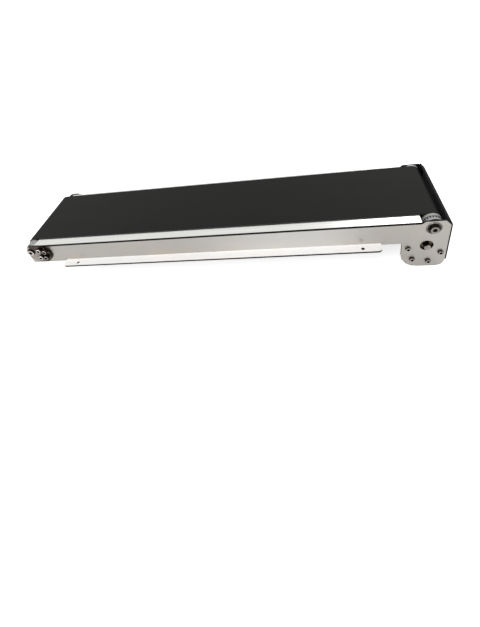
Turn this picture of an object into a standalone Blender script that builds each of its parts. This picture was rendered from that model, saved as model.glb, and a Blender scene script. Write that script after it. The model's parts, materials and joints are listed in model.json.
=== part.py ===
"""Small belt conveyor section: two sheet side plates, a slider bed, a flat belt round two rollers,
a gear motor hung between the plates and a sliding take-up at the tail.

Metres. X runs along the belt from the tail to the drive end, Y across it, Z up.
The origin is the middle of the overall box, on the plane of the lowest edge.
"""
import math

import bmesh
import bpy
from mathutils import Matrix, Vector

# ---------------------------------------------------------------- driving dimensions
GAP = 0.0003                  # between pieces that touch on the real conveyor
CENTRE_DISTANCE = 0.435       # drive roller axis to tail roller axis
FRAME_WIDTH = 0.0984          # over the outer faces of the side plates
SHEET = 0.002                 # side plate thickness
BELT_TOP = 0.0603             # height of the carrying surface over the lowest edge

BELT_WIDTH = 0.0828
BELT_THICK = 0.0011
BELT_NEAR_MARGIN = 0.0092     # near plate's inner face to the belt's edge
ROLLER_RADIUS = 0.008
ROLLER_CHAMFER = 0.0004

WEB_DROP = 0.0037             # plate's top edge below the belt's top
WEB_DEPTH = 0.0240            # height of the plate's long web
TAIL_END = 0.0077             # tail axis to the plate's tail edge
TAIL_CORNER = 0.006
EAR_DROP = 0.0008             # ear's top edge below the belt's top
EAR_BACK = 0.0080             # ear's flat top, behind and ahead of the drive axis
EAR_FRONT = 0.0097
EAR_RAMP = 0.0030
DRIVE_END = 0.0145            # drive axis to the plate's end edge
CHAMFER_DROP = 0.0062         # foot of the ear's sloping corner, below the belt's top
LOBE_BACK = 0.0271            # drive axis to the lobe's inner edge
LOBE_INNER_CORNER = 0.0170
LOBE_OUTER_CORNER = 0.0080

FOOT_REACH = 0.0103           # mounting flange, out from the plate's face
FOOT_TAIL = 0.0374            # tail axis to the flange's tail end
FOOT_DRIVE = 0.0465           # drive axis to the flange's drive end
FOOT_CORNER = 0.004
FOOT_HOLE_RADIUS = 0.0017
FOOT_HOLE_INSET = 0.018
FOOT_HOLE_SHARE = 0.6         # hole's middle, as a share of the reach
BEND_RADIUS = 0.001           # inner radius of the bend
BEND_RELIEF = 0.0006          # slot cut beside each end of the flange

BED_THICK = 0.0016
BED_TAIL = 0.0070             # tail axis to the bed's tail edge
BED_DRIVE = 0.0112            # drive axis to the bed's drive edge
BAR_WIDTH = 0.016
BAR_HEIGHT = 0.010
BAR_END_INSET = 0.060         # roller axis to the outer cross bars

JOURNAL_RADIUS = 0.004
BEARING_RADIUS = 0.007
BEARING_WIDTH = 0.0027
BEARING_PROUD = 0.0004        # bearing's face beyond the plate's outer face
COLLAR_NEAR = 0.0030          # drive roller's end collars, beyond the belt's edges
COLLAR_FAR = 0.0018

PULLEY_TEETH = 20             # at a pitch of 2.5 mm
PULLEY_TIP_RADIUS = 0.0077
TOOTH_DEPTH = 0.0007
PULLEY_FLANGE_RADIUS = 0.0094
PULLEY_FLANGE = 0.0004
TIMING_BELT_THICK = 0.0010

MOTOR_BACK = 0.0057           # gearbox axis behind the drive axis
MOTOR_DROP = 0.0382           # gearbox axis below the belt's top
MOTOR_HOLES_RADIUS = 0.0155   # six places on a 31 mm circle, the lower four used
MOTOR_HOLES_TURN = 168.0      # degrees of the first used place
SHAFT_OFFSET = 0.007          # output shaft from the gearbox axis
SHAFT_RADIUS = 0.003
SHAFT_PROUD = 0.0035          # shaft's end beyond the near plate's outer face
SHAFT_HOLE_RADIUS = 0.00625
GEARBOX_RADIUS = 0.0185
GEARBOX_LENGTH = 0.022
BOSS_RADIUS = 0.006
BOSS_LENGTH = 0.006
CAN_RADIUS = 0.0165
CAN_LENGTH = 0.031
END_CAP_LENGTH = 0.0025
SPACER_RADIUS = 0.00275

COVER_THICK = 0.001
COVER_FOOT = 0.0515           # lower edge of the cover below the belt's top
COVER_TAB_TOP = 0.0205        # bent tabs that the cover is screwed to
COVER_TAB_FOOT = 0.0350
COVER_TAB_REACH = 0.009
WING_ROOM = 0.0006            # cover's wings to the drive roller's collars

TAKE_UP = 0.002               # travel of the tail roller
AXLE_RADIUS = 0.003
TAIL_ROLLER_WALL = 0.0015
TAIL_ROLLER_END_GAP = 0.0005
TAIL_BEARING_WIDTH = 0.005
BRACKET_THICK = 0.002
BRACKET_CENTRE = (0.0093, -0.0130)     # from the tail axis, and below the belt's top
BRACKET_HALF_WIDTH = 0.0143
BRACKET_HALF_HEIGHT = 0.0125
CLAMP_PLACES = ((0.0128, -0.0062), (0.0104, -0.0166), (0.0168, -0.0172), (0.0190, -0.0085))

M3 = {"shank": 0.0015, "head": 0.00275, "height": 0.0030, "socket": 0.00125}
M3_LOW = {"shank": 0.0015, "head": 0.00275, "height": 0.0018, "socket": 0.00125}
M3_BUTTON = {"shank": 0.0015, "head": 0.00285, "height": 0.00165, "socket": 0.0010}
M3_FLAT = {"shank": 0.0015, "head": 0.0028, "height": 0.0, "socket": 0.0010}
M5_LOW = {"shank": 0.0025, "head": 0.00425, "height": 0.0016, "socket": 0.0015}
M4_LOW = {"shank": 0.0020, "head": 0.0043, "height": 0.0013, "socket": 0.00125}

# ---------------------------------------------------------------- places worked out from them
NEAR, FAR = -1, 1
ROLL_RADIUS = ROLLER_RADIUS + GAP + BELT_THICK              # belt's outer face round a roller
COVER_SCREW_SEAT = DRIVE_END + GAP + COVER_THICK + GAP
HEAD_REACH = COVER_SCREW_SEAT + M3_BUTTON["height"]          # furthest point past the drive axis
DRIVE_X = (CENTRE_DISTANCE + ROLL_RADIUS - HEAD_REACH) / 2
TAIL_X = DRIVE_X - CENTRE_DISTANCE
AXIS_Z = BELT_TOP - ROLL_RADIUS

PLATE_OUT = FRAME_WIDTH / 2
PLATE_IN = PLATE_OUT - SHEET
BELT_NEAR = -PLATE_IN + BELT_NEAR_MARGIN
BELT_FAR = BELT_NEAR + BELT_WIDTH
BED_TOP = BELT_TOP - BELT_THICK - GAP
BED_FOOT = BED_TOP - BED_THICK

BEARING_OUT = PLATE_OUT + BEARING_PROUD
BEARING_IN = BEARING_OUT - BEARING_WIDTH
ROLLER_NEAR_FACE = BELT_NEAR - COLLAR_NEAR
ROLLER_FAR_FACE = BELT_FAR + COLLAR_FAR
PULLEY_NEAR = -BEARING_IN + GAP
PULLEY_FAR = ROLLER_NEAR_FACE - GAP

MOTOR_X = DRIVE_X - MOTOR_BACK
MOTOR_Z = BELT_TOP - MOTOR_DROP
SHAFT_TURN = math.radians(MOTOR_HOLES_TURN - 90.0)
SHAFT_X = MOTOR_X + SHAFT_OFFSET * math.cos(SHAFT_TURN)
SHAFT_Z = MOTOR_Z + SHAFT_OFFSET * math.sin(SHAFT_TURN)
GEARBOX_FACE = PULLEY_FAR + GAP + BOSS_LENGTH
CAN_FACE = GEARBOX_FACE + GEARBOX_LENGTH + GAP
END_CAP_FACE = CAN_FACE + CAN_LENGTH + GAP

HOLE_SLACK = GAP              # radial room of a screw in its hole


def motor_hole_places():
    """Centres of the four used fixing places of the gearbox, in X and Z."""
    places = []
    for step in range(4):
        turn = math.radians(MOTOR_HOLES_TURN + 60.0 * step)
        places.append((MOTOR_X + MOTOR_HOLES_RADIUS * math.cos(turn),
                       MOTOR_Z + MOTOR_HOLES_RADIUS * math.sin(turn)))
    return places


def clamp_places():
    """Centres of the four clamp screws of one take-up bracket, in X and Z."""
    return [(TAIL_X + x, BELT_TOP + z) for x, z in CLAMP_PLACES]


def cover_screw_heights():
    """Heights of the two cover screws on each tab."""
    top = BELT_TOP - COVER_TAB_TOP
    foot = BELT_TOP - COVER_TAB_FOOT
    return [top - (top - foot) * share for share in (0.25, 0.75)]


def bar_places():
    """X of the three cross bars under the bed."""
    first = TAIL_X + BAR_END_INSET
    last = DRIVE_X - BAR_END_INSET
    return [first, (first + last) / 2, last]


# ---------------------------------------------------------------- materials
def material(name, colour, roughness, metallic):
    made = bpy.data.materials.new(name)
    made.use_nodes = True
    shader = made.node_tree.nodes["Principled BSDF"]
    shader.inputs["Base Color"].default_value = (*colour, 1.0)
    shader.inputs["Roughness"].default_value = roughness
    shader.inputs["Metallic"].default_value = metallic
    return made


def make_materials():
    return {
        "plate": material("plate_stainless", (0.60, 0.58, 0.55), 0.42, 1.0),
        "bed": material("bed_sheet", (0.86, 0.86, 0.84), 0.30, 1.0),
        "bar": material("bar_aluminium", (0.55, 0.55, 0.54), 0.45, 1.0),
        "belt": material("belt_pvc", (0.030, 0.030, 0.027), 0.55, 0.0),
        "roller": material("roller_aluminium", (0.66, 0.67, 0.66), 0.30, 1.0),
        "steel": material("bright_steel", (0.62, 0.60, 0.57), 0.22, 1.0),
        "bearing": material("bearing_steel", (0.32, 0.31, 0.30), 0.28, 1.0),
        "black": material("cover_black", (0.012, 0.012, 0.012), 0.50, 0.0),
        "urethane": material("timing_belt_urethane", (0.55, 0.56, 0.56), 0.45, 0.0),
        "dark_pulley": material("pulley_black_anodised", (0.030, 0.029, 0.028), 0.40, 1.0),
        "chrome": material("bracket_chrome", (0.50, 0.47, 0.44), 0.12, 1.0),
        "gearbox": material("gearbox_zinc", (0.48, 0.48, 0.47), 0.38, 1.0),
        "end_cap": material("end_cap_plastic", (0.010, 0.010, 0.010), 0.60, 0.0),
    }


# ---------------------------------------------------------------- mesh tools
def finish(name, mesh_data, surface, location=(0, 0, 0), rotation=(0, 0, 0), smooth=True):
    """Turn a bmesh into a named object with outward faces."""
    bmesh.ops.recalc_face_normals(mesh_data, faces=mesh_data.faces)
    mesh = bpy.data.meshes.new(name)
    mesh_data.to_mesh(mesh)
    mesh_data.free()
    if smooth:
        mesh.shade_smooth()
        mesh.set_sharp_from_angle(angle=math.radians(35))
    mesh.materials.append(surface)
    made = bpy.data.objects.new(name, mesh)
    made.location = location
    made.rotation_euler = rotation
    bpy.context.scene.collection.objects.link(made)
    return made


def combine(target, other, operation):
    """Add or cut another body with a Boolean, and keep that body out of the model."""
    other.hide_render = True
    other.display_type = "WIRE"
    step = target.modifiers.new(operation.lower(), "BOOLEAN")
    step.operation = operation
    step.solver = "EXACT"
    step.object = other


def rounded(corners, steps=4):
    """Points of a closed outline whose corners (a, b, radius) are rounded with arcs."""
    points = []
    count = len(corners)
    for index, (a, b, radius) in enumerate(corners):
        here = Vector((a, b))
        if radius == 0:
            points.append(here)
            continue
        before = (Vector(corners[index - 1][:2]) - here).normalized()
        after = (Vector(corners[(index + 1) % count][:2]) - here).normalized()
        half = before.angle(after) / 2
        centre = here + (before + after).normalized() * radius / math.sin(half)
        start = here + before * radius / math.tan(half) - centre
        sweep = start.angle_signed(here + after * radius / math.tan(half) - centre)
        for step in range(steps + 1):
            turn = -sweep * step / steps
            points.append(centre + Vector((start.x * math.cos(turn) - start.y * math.sin(turn),
                                           start.x * math.sin(turn) + start.y * math.cos(turn))))
    return points


def add_prism(mesh_data, outline, low, high, axis="Y"):
    """Add a solid with a flat outline between two planes across an axis."""
    def place(point, depth):
        if axis == "Y":
            return (point[0], depth, point[1])
        if axis == "X":
            return (depth, point[0], point[1])
        return (point[0], point[1], depth)

    ends = [[mesh_data.verts.new(place(point, depth)) for point in outline] for depth in (low, high)]
    count = len(outline)
    mesh_data.faces.new(ends[0])
    mesh_data.faces.new(reversed(ends[1]))
    for index in range(count):
        following = (index + 1) % count
        mesh_data.faces.new((ends[0][index], ends[0][following], ends[1][following], ends[1][index]))


def circle(x, z, radius, segments):
    return [(x + radius * math.cos(math.tau * k / segments),
             z + radius * math.sin(math.tau * k / segments)) for k in range(segments)]


def slot(x0, x1, z, radius, segments=8):
    """Outline of a straight slot along X with round ends."""
    points = []
    for centre, first in ((x1, -0.5), (x0, 0.5)):
        for step in range(segments + 1):
            turn = math.pi * (first + step / segments)
            points.append((centre + radius * math.cos(turn), z + radius * math.sin(turn)))
    return points


def cutter(name, surface, outlines, low, high, axis="Y"):
    """One cutting body made of several straight holes."""
    mesh_data = bmesh.new()
    for outline in outlines:
        add_prism(mesh_data, outline, low, high, axis)
    return finish(name, mesh_data, surface, smooth=False)


def turned(name, surface, stations, segments, location, closed=False, shape=None):
    """A piece turned about Y: stations are (y, radius) in order along the profile.

    closed joins the last station to the first, as on a ring; otherwise both ends get a flat cap.
    shape, if given, returns the radius at a station and an angle step.
    """
    mesh_data = bmesh.new()
    rings = []
    for number, (y, radius) in enumerate(stations):
        ring = []
        for k in range(segments):
            turn = math.tau * k / segments
            r = shape(number, k, radius) if shape else radius
            ring.append(mesh_data.verts.new((r * math.cos(turn), y, r * math.sin(turn))))
        rings.append(ring)
    pairs = list(zip(rings, rings[1:]))
    if closed:
        pairs.append((rings[-1], rings[0]))
    else:
        mesh_data.faces.new(rings[0])
        mesh_data.faces.new(reversed(rings[-1]))
    for first, second in pairs:
        for k in range(segments):
            following = (k + 1) % segments
            mesh_data.faces.new((first[k], first[following], second[following], second[k]))
    return finish(name, mesh_data, surface, location)


def belt_loop(name, surface, ends, inner, outer, low, high, steps):
    """An endless belt round two equal circles, as a band between two radii."""
    start, stop = Vector(ends[0]), Vector(ends[1])
    heading = math.atan2((stop - start).y, (stop - start).x)
    mesh_data = bmesh.new()
    sections = []
    for centre, first in ((stop, -0.5), (start, 0.5)):
        for step in range(steps + 1):
            turn = heading + math.pi * (first + step / steps)
            out = Vector((math.cos(turn), math.sin(turn)))
            far = centre + out * outer
            near = centre + out * inner
            corners = ((far, low), (far, high), (near, high), (near, low))
            sections.append([mesh_data.verts.new((p.x, y, p.y)) for p, y in corners])
    for index, section in enumerate(sections):
        following = sections[(index + 1) % len(sections)]
        for k in range(4):
            after = (k + 1) % 4
            mesh_data.faces.new((section[k], section[after], following[after], following[k]))
    return finish(name, mesh_data, surface)


def screw(name, surface, size, length, location, facing, segments=12):
    """A hexagon-socket screw: origin under its head, the head towards facing."""
    socket_depth = size["height"] * 0.5 if size["height"] else 0.0010
    head_top = size["height"]
    chamfer = 0.0003
    if size["height"]:
        stations = [(-length, size["shank"], False), (0.0, size["shank"], False), (0.0, size["head"], False),
                    (head_top - chamfer, size["head"], False), (head_top, size["head"] - chamfer, False)]
    else:
        cone = size["head"] - size["shank"]
        stations = [(-length, size["shank"], False), (-cone, size["shank"], False), (0.0, size["head"], False)]
    stations += [(head_top, size["socket"], True), (head_top - socket_depth, size["socket"], True)]
    mesh_data = bmesh.new()
    rings = []
    for z, radius, hexagon in stations:
        ring = []
        for k in range(segments):
            turn = math.tau * k / segments
            part = (turn + math.pi / 6) % (math.pi / 3) - math.pi / 6
            r = radius / math.cos(part) if hexagon else radius
            ring.append(mesh_data.verts.new((r * math.cos(turn), r * math.sin(turn), z)))
        rings.append(ring)
    mesh_data.faces.new(rings[0])
    mesh_data.faces.new(reversed(rings[-1]))
    for first, second in zip(rings, rings[1:]):
        for k in range(segments):
            following = (k + 1) % segments
            mesh_data.faces.new((first[k], first[following], second[following], second[k]))
    turns = {"-Y": (math.pi / 2, 0, 0), "+Y": (-math.pi / 2, 0, 0), "+X": (0, math.pi / 2, 0), "+Z": (0, 0, 0)}
    return finish(name, mesh_data, surface, location, turns[facing])


def axis_empty(name, x, z):
    """An empty on a turning or sliding axis, which carries the pieces that move."""
    made = bpy.data.objects.new(name, None)
    made.location = (x, 0, z)
    bpy.context.scene.collection.objects.link(made)
    return made


def carry(empty, pieces):
    """Parent pieces to an empty without moving them."""
    for piece in pieces:
        piece.parent = empty
        piece.location = Vector(piece.location) - Vector(empty.location)


# ---------------------------------------------------------------- frame
def flange_rise():
    """Height where the flange's bend runs into the flat web."""
    return BELT_TOP - WEB_DROP - WEB_DEPTH + SHEET + BEND_RADIUS + GAP


def flange_ends():
    return TAIL_X + FOOT_TAIL, DRIVE_X - FOOT_DRIVE


def plate_outline():
    """Web, ear over the drive roller and motor lobe, clockwise from the tail's top corner."""
    top = BELT_TOP - WEB_DROP
    foot = top - WEB_DEPTH
    ear = BELT_TOP - EAR_DROP
    rise = flange_rise()
    flange_tail, flange_drive = flange_ends()
    return rounded([
        (TAIL_X - TAIL_END, top, TAIL_CORNER),
        (DRIVE_X - EAR_BACK - EAR_RAMP, top, 0.003),
        (DRIVE_X - EAR_BACK, ear, 0.003),
        (DRIVE_X + EAR_FRONT, ear, 0.001),
        (DRIVE_X + DRIVE_END, BELT_TOP - CHAMFER_DROP, 0.001),
        (DRIVE_X + DRIVE_END, 0.0, LOBE_OUTER_CORNER),
        (DRIVE_X - LOBE_BACK, 0.0, LOBE_INNER_CORNER),
        (DRIVE_X - LOBE_BACK, foot, 0.0015),
        (flange_drive + BEND_RELIEF, foot, 0),
        (flange_drive + BEND_RELIEF, rise, 0),
        (flange_drive, rise, 0),
        (flange_tail, rise, 0),
        (flange_tail - BEND_RELIEF, rise, 0),
        (flange_tail - BEND_RELIEF, foot, 0),
        (TAIL_X - TAIL_END, foot, 0.001),
    ])


def foot_profile(side):
    """Cross-section of the outward flange with its bend, in Y and Z."""
    foot = BELT_TOP - WEB_DROP - WEB_DEPTH
    outer_bend = BEND_RADIUS + SHEET
    rise = flange_rise()
    return rounded([
        (side * PLATE_OUT, rise, 0),
        (side * PLATE_OUT, foot + SHEET, BEND_RADIUS),
        (side * (PLATE_OUT + FOOT_REACH), foot + SHEET, 0),
        (side * (PLATE_OUT + FOOT_REACH), foot, 0),
        (side * PLATE_IN, foot, outer_bend),
        (side * PLATE_IN, rise, 0),
    ])


def side_plate(name, side, surface):
    """Laser-cut and bent sheet: the web, with the flange turned out and the cover tab turned in."""
    low, high = sorted((side * PLATE_IN, side * PLATE_OUT))
    mesh_data = bmesh.new()
    add_prism(mesh_data, plate_outline(), low, high)
    ends = flange_ends()
    add_prism(mesh_data, foot_profile(side), *ends, "X")
    tip = side * (PLATE_OUT + FOOT_REACH)
    corners = [edge for edge in mesh_data.edges
               if all(abs(vert.co.y - tip) < 1e-6 for vert in edge.verts)
               and abs(edge.verts[0].co.x - edge.verts[1].co.x) < 1e-6]
    bmesh.ops.bevel(mesh_data, geom=corners, offset=FOOT_CORNER, segments=4, profile=0.5, affect="EDGES")
    rise = flange_rise()
    joined = [face for face in mesh_data.faces
              if all(abs(vert.co.z - rise) < 1e-6 and ends[0] - 1e-6 < vert.co.x < ends[1] + 1e-6
                     for vert in face.verts)]
    bmesh.ops.delete(mesh_data, geom=joined, context="FACES_ONLY")
    bmesh.ops.remove_doubles(mesh_data, verts=mesh_data.verts, dist=1e-6)
    plate = finish(name, mesh_data, surface)

    tab = bmesh.new()
    tab_low, tab_high = sorted((side * (PLATE_IN - COVER_TAB_REACH), side * (PLATE_OUT - 0.0005)))
    add_prism(tab, [(DRIVE_X + DRIVE_END - SHEET, tab_low), (DRIVE_X + DRIVE_END, tab_low),
                    (DRIVE_X + DRIVE_END, tab_high), (DRIVE_X + DRIVE_END - SHEET, tab_high)],
              BELT_TOP - COVER_TAB_FOOT, BELT_TOP - COVER_TAB_TOP, "Z")
    combine(plate, finish(name + "_tab", tab, surface, smooth=False), "UNION")

    screw_hole = M3["shank"] + HOLE_SLACK
    holes = [circle(DRIVE_X, AXIS_Z, BEARING_RADIUS + GAP, 32),
             circle(SHAFT_X, SHAFT_Z, SHAFT_HOLE_RADIUS, 28),
             slot(TAIL_X - GAP, TAIL_X + TAKE_UP + GAP, AXIS_Z, AXLE_RADIUS + GAP)]
    holes += [circle(x, z, screw_hole, 12) for x, z in motor_hole_places() + clamp_places()]
    combine(plate, cutter(name + "_holes", surface, holes, low - 0.001, high + 0.001), "DIFFERENCE")

    foot = BELT_TOP - WEB_DROP - WEB_DEPTH
    middle = side * (PLATE_OUT + FOOT_REACH * FOOT_HOLE_SHARE)
    drilled = [circle(x, middle, FOOT_HOLE_RADIUS, 16)
               for x in (TAIL_X + FOOT_TAIL + FOOT_HOLE_INSET, DRIVE_X - FOOT_DRIVE - FOOT_HOLE_INSET)]
    combine(plate, cutter(name + "_foot_holes", surface, drilled, foot - 0.001, foot + SHEET + 0.001, "Z"),
            "DIFFERENCE")

    tab_middle = side * (PLATE_IN - COVER_TAB_REACH / 2)
    tapped = [circle(tab_middle, z, screw_hole, 12) for z in cover_screw_heights()]
    combine(plate, cutter(name + "_tab_holes", surface, tapped, DRIVE_X + DRIVE_END - SHEET - 0.001,
                          DRIVE_X + DRIVE_END + 0.001, "X"), "DIFFERENCE")
    return plate


def bed_screw_places():
    """Two screws through the bed into each cross bar."""
    reach = BELT_WIDTH * 0.35
    return [(x, side * reach) for x in bar_places() for side in (NEAR, FAR)]


def slider_bed(surface):
    """Flat sheet over the whole frame width; the belt slides on its middle."""
    mesh_data = bmesh.new()
    edge = 0.0003
    add_prism(mesh_data, [(-PLATE_OUT + edge, BED_TOP), (-PLATE_OUT, BED_TOP - edge), (-PLATE_OUT, BED_FOOT),
                          (PLATE_OUT, BED_FOOT), (PLATE_OUT, BED_TOP - edge), (PLATE_OUT - edge, BED_TOP)],
              TAIL_X + BED_TAIL, DRIVE_X - BED_DRIVE, "X")
    bed = finish("slider_bed", mesh_data, surface, smooth=False)
    sinks = bmesh.new()
    reach = M3_FLAT["head"] + GAP
    for x, y in bed_screw_places():
        bmesh.ops.create_cone(sinks, cap_ends=True, segments=16, radius1=reach - BED_THICK, radius2=reach + GAP,
                              depth=BED_THICK + 2 * GAP,
                              matrix=Matrix.Translation((x, y, BED_TOP - BED_THICK / 2)))
    combine(bed, finish("slider_bed_sinks", sinks, surface, smooth=False), "DIFFERENCE")
    return bed


def cross_bars(surface, screw_surface):
    """Three flat bars between the plates, each with two tapped holes for the bed."""
    top = BED_FOOT - GAP
    reach = PLATE_IN - GAP
    for number, x in enumerate(bar_places(), 1):
        mesh_data = bmesh.new()
        add_prism(mesh_data, [(x - BAR_WIDTH / 2, top - BAR_HEIGHT), (x + BAR_WIDTH / 2, top - BAR_HEIGHT),
                              (x + BAR_WIDTH / 2, top), (x - BAR_WIDTH / 2, top)], -reach, reach)
        bar = finish(f"cross_bar_{number}", mesh_data, surface, smooth=False)
        tapped = [circle(x, y, M3["shank"] + HOLE_SLACK, 12) for hole_x, y in bed_screw_places() if hole_x == x]
        combine(bar, cutter(f"cross_bar_{number}_holes", surface, tapped, top - 0.008, top + 0.001, "Z"),
                "DIFFERENCE")
    for number, (x, y) in enumerate(bed_screw_places(), 1):
        screw(f"bed_screw_{number}", screw_surface, M3_FLAT, 0.008, (x, y, BED_TOP), "+Z")


# ---------------------------------------------------------------- belt and drive
def conveyor_belt(surface):
    inner = ROLLER_RADIUS + GAP
    return belt_loop("conveyor_belt", surface, ((TAIL_X, AXIS_Z), (DRIVE_X, AXIS_Z)), inner,
                     inner + BELT_THICK, BELT_NEAR, BELT_FAR, 20)


def drive_roller(surface):
    """Solid roller turned with a collar, a journal and a tapped end on each side."""
    tapped = M5_LOW["shank"] + HOLE_SLACK
    depth = 0.008
    end = BEARING_OUT
    stations = [(-end + depth, tapped), (-end, tapped), (-end, JOURNAL_RADIUS), (ROLLER_NEAR_FACE, JOURNAL_RADIUS),
                (ROLLER_NEAR_FACE, ROLL_RADIUS - ROLLER_CHAMFER), (ROLLER_NEAR_FACE + ROLLER_CHAMFER, ROLL_RADIUS),
                (BELT_NEAR - GAP, ROLL_RADIUS), (BELT_NEAR - GAP, ROLLER_RADIUS),
                (BELT_FAR + GAP, ROLLER_RADIUS), (BELT_FAR + GAP, ROLL_RADIUS),
                (ROLLER_FAR_FACE - ROLLER_CHAMFER, ROLL_RADIUS), (ROLLER_FAR_FACE, ROLL_RADIUS - ROLLER_CHAMFER),
                (ROLLER_FAR_FACE, JOURNAL_RADIUS),
                (end, JOURNAL_RADIUS), (end, tapped), (end - depth, tapped)]
    return turned("drive_roller", surface, stations, 32, (DRIVE_X, 0, AXIS_Z))


def ring(name, surface, inner, outer, low, high, segments, x, z):
    """A plain ring with eased outer edges."""
    ease = min(0.0003, (outer - inner) / 4)
    stations = [(low, inner), (low, outer - ease), (low + ease, outer), (high - ease, outer),
                (high, outer - ease), (high, inner)]
    return turned(name, surface, stations, segments, (x, 0, z), closed=True)


def drive_end_pieces(surfaces):
    """Bearings, end washers and end screws of the drive roller."""
    turning = []
    washer = 0.0007
    for side, word in ((NEAR, "near"), (FAR, "far")):
        low, high = sorted((side * BEARING_IN, side * BEARING_OUT))
        ring(f"drive_bearing_{word}", surfaces["bearing"], JOURNAL_RADIUS + GAP, BEARING_RADIUS, low, high, 28,
             DRIVE_X, AXIS_Z)
        seat = BEARING_OUT + GAP
        low, high = sorted((side * seat, side * (seat + washer)))
        turning.append(ring(f"drive_washer_{word}", surfaces["steel"], M5_LOW["shank"] + GAP, 0.0049, low, high, 20,
                            DRIVE_X, AXIS_Z))
        under_head = side * (seat + washer + GAP)
        turning.append(screw(f"drive_axle_screw_{word}", surfaces["steel"], M5_LOW, 0.007,
                             (DRIVE_X, under_head, AXIS_Z), "-Y" if side == NEAR else "+Y", 18))
    return turning


def pulley(name, surface, bore, x, z):
    """Flanged timing pulley; two points to a tooth round its toothed stretch."""
    segments = PULLEY_TEETH * 2
    stations = [(PULLEY_NEAR, bore), (PULLEY_NEAR, PULLEY_FLANGE_RADIUS),
                (PULLEY_NEAR + PULLEY_FLANGE, PULLEY_FLANGE_RADIUS),
                (PULLEY_NEAR + PULLEY_FLANGE, PULLEY_TIP_RADIUS), (PULLEY_FAR - PULLEY_FLANGE, PULLEY_TIP_RADIUS),
                (PULLEY_FAR - PULLEY_FLANGE, PULLEY_FLANGE_RADIUS), (PULLEY_FAR, PULLEY_FLANGE_RADIUS),
                (PULLEY_FAR, bore)]

    def toothed(number, step, radius):
        if number in (3, 4) and step % 2:
            return radius - TOOTH_DEPTH
        return radius

    return turned(name, surface, stations, segments, (x, 0, z), closed=True, shape=toothed)


def timing_belt(surface):
    inner = PULLEY_TIP_RADIUS + GAP
    side_room = PULLEY_FLANGE + GAP
    return belt_loop("timing_belt", surface, ((SHAFT_X, SHAFT_Z), (DRIVE_X, AXIS_Z)), inner,
                     inner + TIMING_BELT_THICK, PULLEY_NEAR + side_room, PULLEY_FAR - side_room, 14)


def gear_motor(surfaces):
    """Round gearbox with its boss, then the motor can and its end cap with two terminals."""
    back = GEARBOX_FACE + GEARBOX_LENGTH
    box = turned("gearbox", surfaces["gearbox"],
                 [(GEARBOX_FACE, GEARBOX_RADIUS - 0.0005), (GEARBOX_FACE + 0.0005, GEARBOX_RADIUS),
                  (back - 0.0005, GEARBOX_RADIUS), (back, GEARBOX_RADIUS - 0.0005)], 40, (MOTOR_X, 0, MOTOR_Z))
    boss = cutter("gearbox_boss", surfaces["gearbox"], [circle(SHAFT_X, SHAFT_Z, BOSS_RADIUS, 24)],
                  GEARBOX_FACE - BOSS_LENGTH, GEARBOX_FACE + 0.001)
    combine(box, boss, "UNION")
    bores = [circle(SHAFT_X, SHAFT_Z, SHAFT_RADIUS + GAP, 20)]
    combine(box, cutter("gearbox_bore", surfaces["gearbox"], bores, GEARBOX_FACE - BOSS_LENGTH - 0.001,
                        GEARBOX_FACE + 0.010), "DIFFERENCE")
    tapped = [circle(x, z, M3["shank"] + HOLE_SLACK, 12) for x, z in motor_hole_places()]
    combine(box, cutter("gearbox_taps", surfaces["gearbox"], tapped, GEARBOX_FACE - 0.001, GEARBOX_FACE + 0.004),
            "DIFFERENCE")

    can_back = CAN_FACE + CAN_LENGTH
    turned("motor_can", surfaces["steel"],
           [(CAN_FACE, CAN_RADIUS), (can_back - 0.001, CAN_RADIUS), (can_back, CAN_RADIUS - 0.001)], 36,
           (MOTOR_X, 0, MOTOR_Z))
    cap_back = END_CAP_FACE + END_CAP_LENGTH
    cap = turned("motor_end_cap", surfaces["end_cap"],
                 [(END_CAP_FACE, CAN_RADIUS - 0.0015), (cap_back, CAN_RADIUS - 0.0015),
                  (cap_back, 0.005), (cap_back + 0.0015, 0.0045)], 32, (MOTOR_X, 0, MOTOR_Z))
    terminals = bmesh.new()
    for side in (-1, 1):
        x = MOTOR_X + side * 0.010
        add_prism(terminals, [(x - 0.0004, MOTOR_Z - 0.0014), (x + 0.0004, MOTOR_Z - 0.0014),
                              (x + 0.0004, MOTOR_Z + 0.0014), (x - 0.0004, MOTOR_Z + 0.0014)],
                  cap_back - 0.0005, cap_back + 0.005)
    combine(cap, finish("motor_terminals", terminals, surfaces["end_cap"], smooth=False), "UNION")

    shaft_end = -PLATE_OUT - SHAFT_PROUD
    shaft = turned("output_shaft", surfaces["steel"],
                   [(shaft_end, SHAFT_RADIUS - 0.0003), (shaft_end + 0.0003, SHAFT_RADIUS),
                    (GEARBOX_FACE + 0.009, SHAFT_RADIUS)], 24, (SHAFT_X, 0, SHAFT_Z))
    return [shaft]


def motor_fixings(surfaces):
    """Four spacer tubes between plate and gearbox, and the long screws through them."""
    for number, (x, z) in enumerate(motor_hole_places(), 1):
        ring(f"motor_spacer_{number}", surfaces["bar"], M3["shank"] + GAP, SPACER_RADIUS, -PLATE_IN + GAP,
             GEARBOX_FACE - GAP, 16, x, z)
        reach = PLATE_OUT + GAP + GEARBOX_FACE + 0.003
        screw(f"motor_screw_{number}", surfaces["steel"], M3_LOW, reach, (x, -PLATE_OUT - GAP, z), "-Y", 18)


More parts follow.
